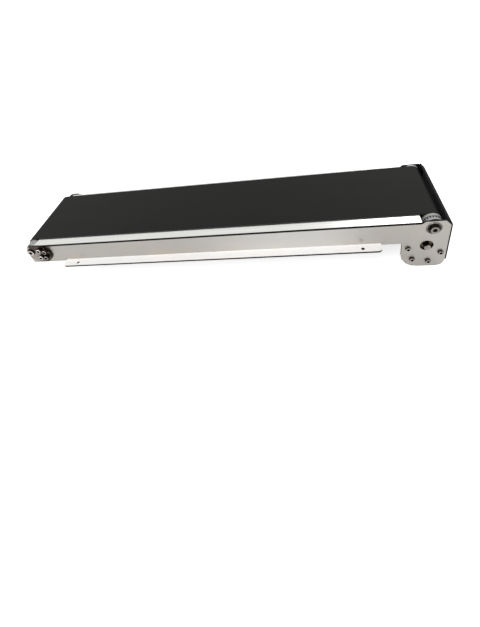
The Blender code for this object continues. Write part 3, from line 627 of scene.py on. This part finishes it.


# ---------------------------------------------------------------- drive roller
# Turned from one aluminium bar, with a journal at each end in a ball bearing. The belt runs
# between two pressed-on acetal collars, which show above the plates' ears; the far one is painted
# near white as a painted highlight.
ROLLER_CORNER = 0.0003
JOURNAL = 0.004
SCREW_CLEARANCE = 0.0028      # radius of a hole round an M5 screw
FAR_COLLAR = 0.0018
turned_aluminium = turned_metal("turned_aluminium", "#8b8b88", "#aeaeaa", 0.34)
acetal = moulded("grey_acetal", "#8f918f", "#a6a8a6", 0.45, specular=0.3)
acetal_painted_highlight = moulded("acetal_painted_highlight", "#c6c7c5", "#dcdddb", 0.4)
dark_bore = moulded("shaded_bore", "#0c0b0a", "#171514", 0.8)


def drive_roller():
    low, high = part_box("drive_roller")
    belt_low, belt_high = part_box("conveyor_belt")
    collar, core = radius_of("drive_roller"), radius_of("tail_roller")
    corner, half_corner = ROLLER_CORNER, ROLLER_CORNER / 2
    hole_depth = 0.008
    near_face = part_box("driven_pulley")[1].y + RUNNING_GAP
    near_step = belt_low.y - RUNNING_GAP
    far_step = belt_high.y + RUNNING_GAP
    far_face = belt_high.y + FAR_COLLAR
    lathe("drive_roller", [
        (low.y + hole_depth, SCREW_CLEARANCE, 1), (low.y, SCREW_CLEARANCE, 0),
        (low.y, JOURNAL - half_corner, 0), (low.y + half_corner, JOURNAL, 0),
        (near_face, JOURNAL, 2), (near_face, collar - corner, 2), (near_face + corner, collar, 2),
        (near_step, collar, 2), (near_step, core, 0), (far_step, core, 3), (far_step, collar, 3),
        (far_face - corner, collar, 3), (far_face, collar - corner, 3), (far_face, JOURNAL, 0),
        (high.y - half_corner, JOURNAL, 0), (high.y, JOURNAL - half_corner, 0),
        (high.y, SCREW_CLEARANCE, 1), (high.y - hole_depth, SCREW_CLEARANCE, 1)],
        (turned_aluminium, dark_bore, acetal, acetal_painted_highlight), 96)


drive_roller()

# ---------------------------------------------------------------- ball bearings
# Each is a ground outer ring, a black rubber seal set a little below its face, and an inner ring.
# The drive end's sit in the plates; the tail's are pressed into the roller tube.
RING_SHARE = 0.28             # of the width from bore to rim
SEAL_SINK = 0.00025
SMALL_CORNER = 0.0002
ground_steel = turned_metal("ground_bearing_steel", "#77726d", "#b3aea8", 0.20)
black_seal = moulded("black_rubber_seal", "#0d0c0c", "#191817", 0.5)


def ball_bearing(node, bore):
    low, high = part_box(node)
    outer = radius_of(node)
    ring = (outer - bore) * RING_SHARE
    near_half = [(low.y, bore + 0.0001, 0), (low.y, bore + ring, 0),
                 (low.y + SEAL_SINK, bore + ring, 1), (low.y + SEAL_SINK, outer - ring, 0),
                 (low.y, outer - ring, 0), (low.y, outer - SMALL_CORNER, 0),
                 (low.y + SMALL_CORNER, outer, 0)]
    far_half = [(low.y + high.y - y, r) for y, r, _ in reversed(near_half)]
    far_finishes = [0, 0, 0, 1, 0, 0, 0]
    lathe(node, near_half + [(*place, finish) for place, finish in zip(far_half, far_finishes)],
          (ground_steel, black_seal), closed=True)


for side in ("near", "far"):
    ball_bearing(f"drive_bearing_{side}", JOURNAL + RUNNING_GAP)
    ball_bearing(f"tail_bearing_{side}", radius_of("tail_axle") + RUNNING_GAP)

# ---------------------------------------------------------------- end washers
# Thin steel washers under the low-head screws that close the bearings, painted nearly black as
# painted shade round the heads.
# Each turns with the drive roller.
dark_steel_painted_shade = turned_metal("steel_painted_shade", "#151312", "#322e2b", 0.34, 900.0)
for side in ("near", "far"):
    turned_tube(f"drive_washer_{side}", SCREW_CLEARANCE, SMALL_CORNER, dark_steel_painted_shade, 48)

# ---------------------------------------------------------------- pulleys
# Two equal 20-tooth pulleys at a 2.5 mm pitch, each with a pressed flange on both sides. The
# driven one is plain aluminium, the one on the motor's shaft anodised dark brown.
PULLEY_TEETH = 20
TOOTH_HEIGHT = 0.0007
FLANGE_HEIGHT = 0.0017
FLANGE_THICK = 0.0004
FLANGE_CORNER = 0.00015
browned = turned_metal("browned_aluminium", "#5a4a40", "#84705f", 0.42)


def timing_pulley(node, bore, material):
    low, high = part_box(node)
    flange = radius_of(node)
    tip, chamfer = flange - FLANGE_HEIGHT, flange - FLANGE_CORNER
    toothed_stations = (4, 5)
    tooth_half, tooth_flank = 0.2, 0.1

    def toothed(number, turn, radius):
        if number not in toothed_stations:
            return radius
        phase = (turn / math.tau * PULLEY_TEETH) % 1.0
        rise = min(1.0, max(0.0, (abs(phase - 0.5) - tooth_half) / tooth_flank))
        return radius - TOOTH_HEIGHT * rise

    stations = [(low.y, bore, 0), (low.y, chamfer, 0), (low.y + FLANGE_CORNER, flange, 0),
                (low.y + FLANGE_THICK, flange, 0), (low.y + FLANGE_THICK, tip, 0),
                (high.y - FLANGE_THICK, tip, 0), (high.y - FLANGE_THICK, flange, 0),
                (high.y - FLANGE_CORNER, flange, 0), (high.y, chamfer, 0), (high.y, bore, 0)]
    lathe(node, stations, (material,), PULLEY_TEETH * 10, closed=True, shape=toothed)


timing_pulley("driven_pulley", JOURNAL + RUNNING_GAP, turned_aluminium)
timing_pulley("motor_pulley", radius_of("output_shaft") + RUNNING_GAP, browned)

# ---------------------------------------------------------------- timing belt
# A 95 mm light grey polyurethane belt with 38 teeth inside. A row of small moulding notches, one
# at each tooth, runs round its inner edge and shows as dark marks over the drive roller.
BELT_TEETH = 38
STEPS_PER_TOOTH = 8
BELT_THICK = 0.0010
BELT_TOOTH = 0.0002
BELT_EDGE = 0.0001
NOTCH_WIDTH = 0.0017
NOTCH_DEPTH = 0.0007
NOTCH_FLANK = 0.00005
grey_urethane = moulded("light_grey_polyurethane", "#8e908f", "#a3a5a4", 0.5, specular=0.25)
notch_shade = moulded("notch_shade", "#0c0b0b", "#191817", 0.8, specular=0.1)


def loop_place(share, start, stop, radius):
    """Point of a loop round two equal circles, at a share of its length, and its way outward."""
    run = (stop - start).length
    half_turn = math.pi * radius
    along = (stop - start) / run
    side = Vector((along.y, -along.x))
    at = share * (2 * run + math.tau * radius)
    if at < run:
        return start + along * at + side * radius, side
    if at < run + half_turn:
        turn = (at - run) / radius
        out = side * math.cos(turn) + along * math.sin(turn)
        return stop + out * radius, out
    if at < 2 * run + half_turn:
        return stop - along * (at - run - half_turn) - side * radius, -side
    turn = (at - 2 * run - half_turn) / radius
    out = -side * math.cos(turn) - along * math.sin(turn)
    return start + out * radius, out


def timing_belt():
    low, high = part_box("timing_belt")
    start = Vector((middle("output_shaft").x, middle("output_shaft").z))
    stop = Vector((middle("driven_pulley").x, middle("driven_pulley").z))
    outer = high.z - stop.y
    inner = outer - BELT_THICK
    notch_side = high.y - NOTCH_WIDTH
    tooth_steps, notch_steps = (2, 3, 4, 5), (2, 3, 4)
    notch_sides, shaded_steps = (2, 3), (1, 2, 3, 4)
    mesh_data = bmesh.new()
    sections = []
    count = BELT_TEETH * STEPS_PER_TOOTH
    for number in range(count):
        phase = number % STEPS_PER_TOOTH
        root, out = loop_place(number / count, start, stop, outer)
        tooth = inner - (BELT_TOOTH if phase in tooth_steps else 0.0)
        notch = outer - (NOTCH_DEPTH if phase in notch_steps else 0.0)
        corners = [(outer - BELT_EDGE, low.y), (outer, low.y + BELT_EDGE), (outer, notch_side),
                   (notch, notch_side + NOTCH_FLANK), (notch, high.y), (tooth, high.y),
                   (tooth, low.y)]
        sections.append([
            mesh_data.verts.new((root.x + out.x * (r - outer), y, root.y + out.y * (r - outer)))
            for r, y in corners])
    for number, section in enumerate(sections):
        shaded = number % STEPS_PER_TOOTH in shaded_steps
        skin(mesh_data, section, sections[(number + 1) % count],
             lambda k: 1 if shaded and k in notch_sides else 0)
    belt = finish_mesh(mesh_data, "timing_belt_teeth", (grey_urethane, notch_shade))
    stand_for(belt, "timing_belt")


timing_belt()


# ---------------------------------------------------------------- gear motor
# A round 37 mm gearbox with a zinc face plate and a turned steel sleeve, a zinc plated motor can
# crimped to it, and a black nylon end cap with two tinned terminals. The output shaft is ground
# steel with a flat; all but its end is painted nearly black as painted shade.
BOSS_RADIUS = 0.006
BOSS_LENGTH = 0.006
FACE_PLATE = 0.0025
HIDDEN_RADIUS = 0.0135        # the gearbox's ends are closed from this radius inward
REAR_GROOVE = (0.0030, 0.0026)  # from the gearbox's back
SCREW_CIRCLE = 0.0155
SCREW_HOLE = 0.0018           # radius of a hole round an M3 screw
die_cast = moulded("die_cast_zinc", "#8d8d8b", "#a5a5a2", 0.42, 0.0012, metallic=1.0)
sleeve_steel = turned_metal("turned_sleeve_steel", "#8c8a87", "#b5b3af", 0.28)
can_zinc = turned_metal("zinc_plated_can", "#95938f", "#c2c0bb", 0.24, 160.0)
black_nylon = moulded("black_glass_filled_nylon", "#0f0f0f", "#1e1e1e", 0.55)
tinned = turned_metal("tinned_brass", "#a6a29a", "#cfccc4", 0.3)


def add_stud(mesh_data, centre, y_from, y_to, radius, steps=24, corner=0.0002):
    """Add a plain round stud along Y, with its outer end eased, to a body's mesh."""
    way = math.copysign(corner, y_to - y_from)
    lathe_rings(mesh_data, centre, [(y_from, radius, 0), (y_to - way, radius, 0),
                                    (y_to, radius - corner, 0)], steps, False)


def bored(made, holes):
    """Cut round blind holes along Y into a piece. holes lists (centre, start, end, radius)."""
    mesh_data = bmesh.new()
    for centre, y_from, y_to, radius in holes:
        lathe_rings(mesh_data, centre, [(y_from, radius, 0), (y_to, radius, 0)], 48, False)
    drill = finish_mesh(mesh_data, "drill", ())
    cut = made.modifiers.new("drilled", "BOOLEAN")
    cut.operation = "DIFFERENCE"
    cut.solver = "EXACT"
    cut.use_self = True
    cut.object = drill
    bpy.context.view_layer.update()
    cut_piece = made.evaluated_get(bpy.context.evaluated_depsgraph_get())
    drilled = bpy.data.meshes.new_from_object(cut_piece)
    smooth_between_edges(drilled, SHARP_ABOVE)
    made.modifiers.clear()
    made.data = drilled
    bpy.data.objects.remove(drill)
    return made


def gearbox():
    low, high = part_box("gearbox")
    radius = radius_of("gearbox")
    axis = middle("motor_can")
    face = low.y + BOSS_LENGTH
    seam, seam_end = face + FACE_PLATE, face + FACE_PLATE + 0.0004
    sleeve = radius - 0.0001
    groove_start, groove_end = [high.y - back for back in REAR_GROOVE]
    mesh_data = bmesh.new()
    lathe_rings(mesh_data, axis, [
        (face, HIDDEN_RADIUS, 0), (face, radius - 0.0005, 0), (face + 0.0005, radius, 0),
        (seam, radius, 1), (seam, radius - 0.0004, 1), (seam_end, radius - 0.0004, 1),
        (seam_end, sleeve, 1), (groove_start, sleeve, 1), (groove_start, radius - 0.0005, 1),
        (groove_end, radius - 0.0005, 1), (groove_end, sleeve, 1), (high.y - 0.0005, sleeve, 1),
        (high.y, radius - 0.0006, 1), (high.y, HIDDEN_RADIUS, 1)], 96, False)
    add_stud(mesh_data, middle("output_shaft"), face + 0.001, low.y, BOSS_RADIUS, 48, 0.0005)
    for number in range(6):
        turn = math.radians(18 + 60 * number)
        spot = Vector((axis.x + SCREW_CIRCLE * math.cos(turn), 0,
                       axis.z + SCREW_CIRCLE * math.sin(turn)))
        add_stud(mesh_data, spot, high.y - 0.001, high.y - 0.0001, 0.0012)
    made = finish_mesh(mesh_data, "gearbox_sleeve", (die_cast, sleeve_steel))
    screws = [f"motor_screw_{number}" for number in (1, 2, 3, 4)]
    holes = [(middle("output_shaft"), low.y - 0.001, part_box("output_shaft")[1].y + RUNNING_GAP,
              radius_of("output_shaft") + RUNNING_GAP)]
    holes += [(middle(screw), face - 0.001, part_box(screw)[1].y + RUNNING_GAP, SCREW_HOLE)
              for screw in screws]
    stand_for(bored(made, holes), "gearbox")


def motor_can():
    low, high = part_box("motor_can")
    radius = radius_of("motor_can")
    flat_stations, dent_stations = (2, 3, 4, 5), (7, 8)
    hub = 0.012

    def crimped(number, turn, r):
        """Four crimp dents near the back and two flats along the can."""
        quarter = (turn + math.pi / 4) % (math.pi / 2) - math.pi / 4
        if number in dent_stations and abs(quarter) < 0.08:
            return r - 0.0005
        if number in flat_stations:
            flat = min(abs(turn - math.pi / 2), abs(turn - 3 * math.pi / 2))
            return min(r, (radius - 0.0008) / math.cos(flat)) if flat < 0.5 else r
        return r

    waist = radius - 0.0002
    stations = [(low.y, hub), (low.y, radius - 0.0006), (low.y + 0.0006, radius),
                (low.y + 0.004, radius), (low.y + 0.0042, waist), (high.y - 0.0062, waist),
                (high.y - 0.006, radius), (high.y - 0.0045, radius), (high.y - 0.0030, radius),
                (high.y - 0.0010, radius), (high.y - 0.0003, radius - 0.0003),
                (high.y, radius - 0.0010), (high.y, radius - 0.0018),
                (high.y - 0.0006, radius - 0.0022), (high.y - 0.0006, hub)]
    lathe("motor_can", [(*station, 0) for station in stations], (can_zinc,), 120, False, crimped)


def end_cap():
    low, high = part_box("motor_end_cap")
    axis = middle("motor_can")
    radius = radius_of("motor_end_cap")
    back = low.y + 0.0025
    recess = back - 0.0006
    mesh_data = bmesh.new()
    lathe_rings(mesh_data, axis, [
        (low.y, radius - 0.0003, 0), (low.y + 0.0003, radius, 0), (back - 0.0004, radius, 0),
        (back, radius - 0.0004, 0), (back, 0.0110, 0), (recess, 0.0107, 0), (recess, 0.0068, 0),
        (back, 0.0065, 0), (back, 0.0050, 1), (back + 0.0012, 0.0048, 1),
        (back + 0.0015, 0.0045, 1), (back + 0.0015, 0.0016, 0), (back + 0.0010, 0.0014, 0)],
        72, False)
    blade = [(0.0004, 0.0014, low.y + 0.002), (0.0004, 0.0014, high.y - 0.0008),
             (0.0003, 0.0009, high.y)]
    for x in (axis.x - 0.010, axis.x + 0.010):
        rings = [[mesh_data.verts.new((x + way_x * half_x, y, axis.z + way_z * half_z))
                  for way_x, way_z in ((-1, -1), (1, -1), (1, 1), (-1, 1))]
                 for half_x, half_z, y in blade]
        close_ends(mesh_data, rings, 2, 2)
        for first, second in zip(rings, rings[1:]):
            skin(mesh_data, first, second, 2)
    cap = finish_mesh(mesh_data, "motor_end_cap_moulding", (black_nylon, sleeve_steel, tinned))
    stand_for(cap, "motor_end_cap")


def output_shaft():
    low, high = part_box("output_shaft")
    radius = radius_of("output_shaft")
    flat_facing, flat_depth = math.radians(110), 0.0025

    def flatted(number, turn, r):
        """A flat along the first stretch, for the pulley's set screw."""
        facing = math.cos(turn - flat_facing)
        return min(r, flat_depth / facing) if number < 4 and facing > 0.5 else r

    lathe("output_shaft", [
        (low.y, radius - 0.0003, 0), (low.y + 0.0003, radius, 1), (low.y + 0.008, radius, 1),
        (low.y + 0.0121, radius, 1), (low.y + 0.0122, radius, 1), (high.y, radius, 0)],
        (ground_steel, dark_steel_painted_shade), 48, False, flatted)


gearbox()
motor_can()
end_cap()
output_shaft()

# ---------------------------------------------------------------- motor spacers
# Four aluminium tubes that hold the gearbox off the near plate. The motor's screws run through
# them.
for number in (1, 2, 3, 4):
    turned_tube(f"motor_spacer_{number}", SCREW_HOLE, SMALL_CORNER, turned_aluminium, 40)

# ---------------------------------------------------------------- tail roller
# A plain aluminium tube on two ball bearings, turning on a fixed steel axle. The axle's ends are
# tapped for the screws that hold it in the take-up brackets.
AXLE_TAP = 0.0023
TAP_DEPTH = 0.010
turned_tube("tail_roller", radius_of("tail_bearing_near") + RUNNING_GAP, ROLLER_CORNER,
            turned_aluminium, 96)
low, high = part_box("tail_axle")
axle = radius_of("tail_axle")
lathe("tail_axle", [
    (low.y + TAP_DEPTH, AXLE_TAP, 1), (low.y, AXLE_TAP, 0), (low.y, axle - SMALL_CORNER, 0),
    (low.y + SMALL_CORNER, axle, 0), (high.y - SMALL_CORNER, axle, 0),
    (high.y, axle - SMALL_CORNER, 0), (high.y, AXLE_TAP, 1), (high.y - TAP_DEPTH, AXLE_TAP, 1)],
    (ground_steel, dark_bore), 48)

# ---------------------------------------------------------------- take-up brackets
# Bright nickel plated steel plates. Each has the axle's hole and four short slots, so that the
# tail can be drawn out when its clamp screws are slack. The plating is painted brown along its
# top and towards the drive side as a painted dark reflection, clouded unevenly.
PLATING_CLOUD = 0.006         # size of the plating's soft stains
REFLECTION_MARGIN = 0.008          # from the bracket's ends
REFLECTION_DEPTH = (-0.012, -0.004)  # from the bracket's top
BRACKET_CORNER = 0.00015


def nickel_with_painted_reflection(name, hex_clean, hex_reflected):
    made, tree, place = new_material(name, {"Metallic": 1.0, "Roughness": 0.14})
    parts = add_node(tree, "ShaderNodeSeparateXYZ", {0: place}).outputs
    low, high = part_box("take_up_bracket_near")
    cloud = noise(tree, place, 1 / PLATING_CLOUD, 3.0)
    across = ranged(tree, parts["X"], (low.x + REFLECTION_MARGIN, high.x - REFLECTION_MARGIN))
    upward = ranged(tree, parts["Z"], [high.z + z for z in REFLECTION_DEPTH])
    reflection_share = reckon(tree, "MAXIMUM", across, upward)
    uneven = ranged(tree, cloud, wanted=(-0.3, 0.3))
    coloured(tree, reckon(tree, "ADD", reflection_share, uneven, clamp=True), hex_clean, hex_reflected)
    lead(tree, ranged(tree, cloud, wanted=(0.08, 0.24)), "Roughness")
    return made


nickel_near = nickel_with_painted_reflection("nickel_plate_painted_reflection", "#a19b93", "#4d423b")
nickel_far = nickel_with_painted_reflection("far_nickel_plate_painted_reflection", "#c4c2be", "#a19d98")
# The near bracket's cut edges are painted nearly black as painted shade.
bracket_edge_shade = cut_edge("bracket_edge_painted_shade", "#120f0e", "#2c2624")
for side, finishes in (("near", (nickel_near, bracket_edge_shade)), ("far", (nickel_far, nickel_far))):
    eased(f"take_up_bracket_{side}", finishes, BRACKET_CORNER,
          lambda normal, centre: 0 if abs(normal.y) > 0.9 else 1)

# ---------------------------------------------------------------- screws
# Steel socket screws in bright zinc plate. Their sockets, threads, knurled sides and the rims of
# the short and low heads are painted dark as painted shade. Cap heads are knurled; the end guard
# has button heads and the bed countersunk ones.
KNURL_COUNT = 26
KNURL_DEPTH = 0.00009
THREAD_PITCH = 0.0005
THREAD_DEPTH = 0.0002
TIP_CHAMFER = 0.0004
UNTHREADED = 0.0012           # least length of a shank left plain, tip and neck together
HEAD_EDGE = 0.00015
PLAIN_STEPS = 36
SOCKET_SHARE = {"cap": 0.56, "short": 0.54, "low": 0.44, "button": 0.38, "flat": 0.38}
KNURLED = ("cap", "short", "low")
TURN_TO = {"-Y": Matrix.Rotation(math.pi / 2, 4, "X"), "+Y": Matrix.Rotation(-math.pi / 2, 4, "X"),
           "+X": Matrix.Rotation(math.pi / 2, 4, "Y"), "+Z": Matrix.Identity(4)}
zinc = turned_metal("bright_zinc_plate", "#b4aea8", "#ebe7e2", 0.18, 900.0)
zinc_painted_shade = turned_metal("zinc_plate_painted_shade", "#251f1c", "#544a44", 0.26, 900.0)
socket_shade = moulded("socket_painted_shade", "#030303", "#070707", 0.8, specular=0.05)
worn_zinc = turned_metal("worn_zinc_plate", "#74706c", "#aaa5a0", 0.24, 900.0)
clean = (zinc, zinc_painted_shade, socket_shade)
worn = (worn_zinc, zinc_painted_shade, socket_shade)


def thread(length, shank):
    """Profile of a threaded shank from its tip up to the head's seat."""
    stations = [("plain", -length, shank - 0.0003, 1), ("plain", -length + TIP_CHAMFER, shank, 1)]
    turns = int((length - UNTHREADED) / THREAD_PITCH)
    for turn in range(turns):
        start = -length + TIP_CHAMFER + turn * THREAD_PITCH
        stations += [("plain", start + THREAD_PITCH / 2, shank - THREAD_DEPTH, 1),
                     ("plain", start + THREAD_PITCH, shank, 1)]
    return stations + [("plain", 0.0, shank, 1)]


def cap_head(radius, head, rim):
    """Knurled cylinder with a chamfer. rim is the chamfer's finish."""
    return [("plain", 0.0, radius - 0.0001, 1), ("knurl", 0.00012, radius, 1),
            ("knurl", head * 0.80, radius, 1), ("plain", head * 0.84, radius - 0.0001, rim),
            ("plain", head, radius - 0.0004, 0)]


def button_head(radius, head):
    """Low dome with a flat middle."""
    middle_share, dome_share = 0.42, 0.58
    stations = [("plain", 0.0, radius - 0.0001, 0), ("plain", HEAD_EDGE, radius, 0)]
    for part in range(1, 5):
        turn = part * math.pi / 8
        stations.append(("plain", HEAD_EDGE + (head - HEAD_EDGE) * math.sin(turn),
                         radius * middle_share + radius * dome_share * math.cos(turn), 0))
    return stations


def flat_head(radius, shank):
    """Countersunk head, flush with the surface."""
    return [("plain", -(radius - shank), shank, 0), ("plain", -HEAD_EDGE, radius, 0),
            ("plain", 0.0, radius, 0)]


def socket_screw(node, facing, shank, head, kind="cap", finishes=clean):
    """A screw in place of a node. facing is the way its head points, head the head's height."""
    low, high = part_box(node)
    axis = "XYZ".index(facing[1])
    across = (axis + 1) % 3
    radius = (high[across] - low[across]) / 2
    stations = thread(high[axis] - low[axis] - head, shank)
    if kind in KNURLED:
        stations += cap_head(radius, head, 0 if kind == "cap" else 1)
    elif kind == "button":
        stations += button_head(radius, head)
    else:
        stations = stations[:-1] + flat_head(radius, shank)
    socket = radius * SOCKET_SHARE[kind]
    depth = max(head * 0.55, 0.0009)
    stations += [("hex", head, socket * 1.08, 1), ("hex", head - 0.0001, socket, 2),
                 ("hex", head - depth, socket, 2)]
    steps = KNURL_COUNT * 3 if kind in KNURLED else PLAIN_STEPS
    mesh_data = bmesh.new()
    rings = []
    for form, z, r, _ in stations:
        ring = []
        for k in range(steps):
            turn = math.tau * k / steps
            reach = r
            if form == "knurl" and k % 3:
                reach = r - KNURL_DEPTH
            if form == "hex":
                reach = r / math.cos((turn + math.pi / 6) % (math.pi / 3) - math.pi / 6)
            ring.append(mesh_data.verts.new((reach * math.cos(turn), reach * math.sin(turn), z)))
        rings.append(ring)
    close_ends(mesh_data, rings, 1, 2)
    for first, second, station in zip(rings, rings[1:], stations):
        skin(mesh_data, first, second, station[3])
    seat = (low + high) / 2
    seat[axis] = high[axis] - head if facing[0] == "+" else low[axis] + head
    bmesh.ops.transform(mesh_data, verts=mesh_data.verts,
                        matrix=Matrix.Translation(seat) @ TURN_TO[facing])
    stand_for(finish_mesh(mesh_data, node + "_threaded", finishes, 25.0), node)


M3, M4, M5 = 0.0015, 0.0020, 0.0025  # radius of a shank
for number in (1, 2, 3, 4):
    socket_screw(f"motor_screw_{number}", "-Y", M3, 0.0018, "short")
    socket_screw(f"cover_screw_{number}", "+X", M3, 0.00165, "button")
    socket_screw(f"clamp_screw_near_{number}", "-Y", M3, 0.0030,
                 finishes=worn if number > 2 else clean)
    socket_screw(f"clamp_screw_far_{number}", "+Y", M3, 0.0030)
for number in range(1, 7):
    socket_screw(f"bed_screw_{number}", "+Z", M3, 0.0, "flat")
for side, facing in (("near", "-Y"), ("far", "+Y")):
    socket_screw(f"drive_axle_screw_{side}", facing, M5, 0.0016, "low", worn)
    socket_screw(f"tail_axle_screw_{side}", facing, M4, 0.0013, "low")

# ---------------------------------------------------------------- end guard
# Bent from 1 mm steel sheet and powder coated black with a fine texture. Its inside faces are
# painted a lighter grey as painted light.
POWDER_GRAIN = 1100.0
GUARD_CORNER = 0.00012


def powder_coat(name, hex_dark, hex_light):
    """Fine-texture powder coat: dull, with a tight orange-peel grain."""
    made, tree, place = new_material(name, {"Roughness": 0.75, "Specular IOR Level": 0.05})
    grain = noise(tree, place, POWDER_GRAIN, 3.0)
    coloured(tree, grain, hex_dark, hex_light)
    bumped(tree, grain, 0.5, 0.0003)
    return made


guard_outside = powder_coat("black_powder_coat", "#111010", "#222121")
guard_inside_painted_light = powder_coat("black_powder_coat_painted_light", "#3f3d3d", "#525050")
eased("end_cover", (guard_outside, guard_inside_painted_light), GUARD_CORNER,
      lambda normal, centre: 1 if normal.x < -0.95 else 0)

# ---------------------------------------------------------------- finish
# The box round the finished pieces.
low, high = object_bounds()
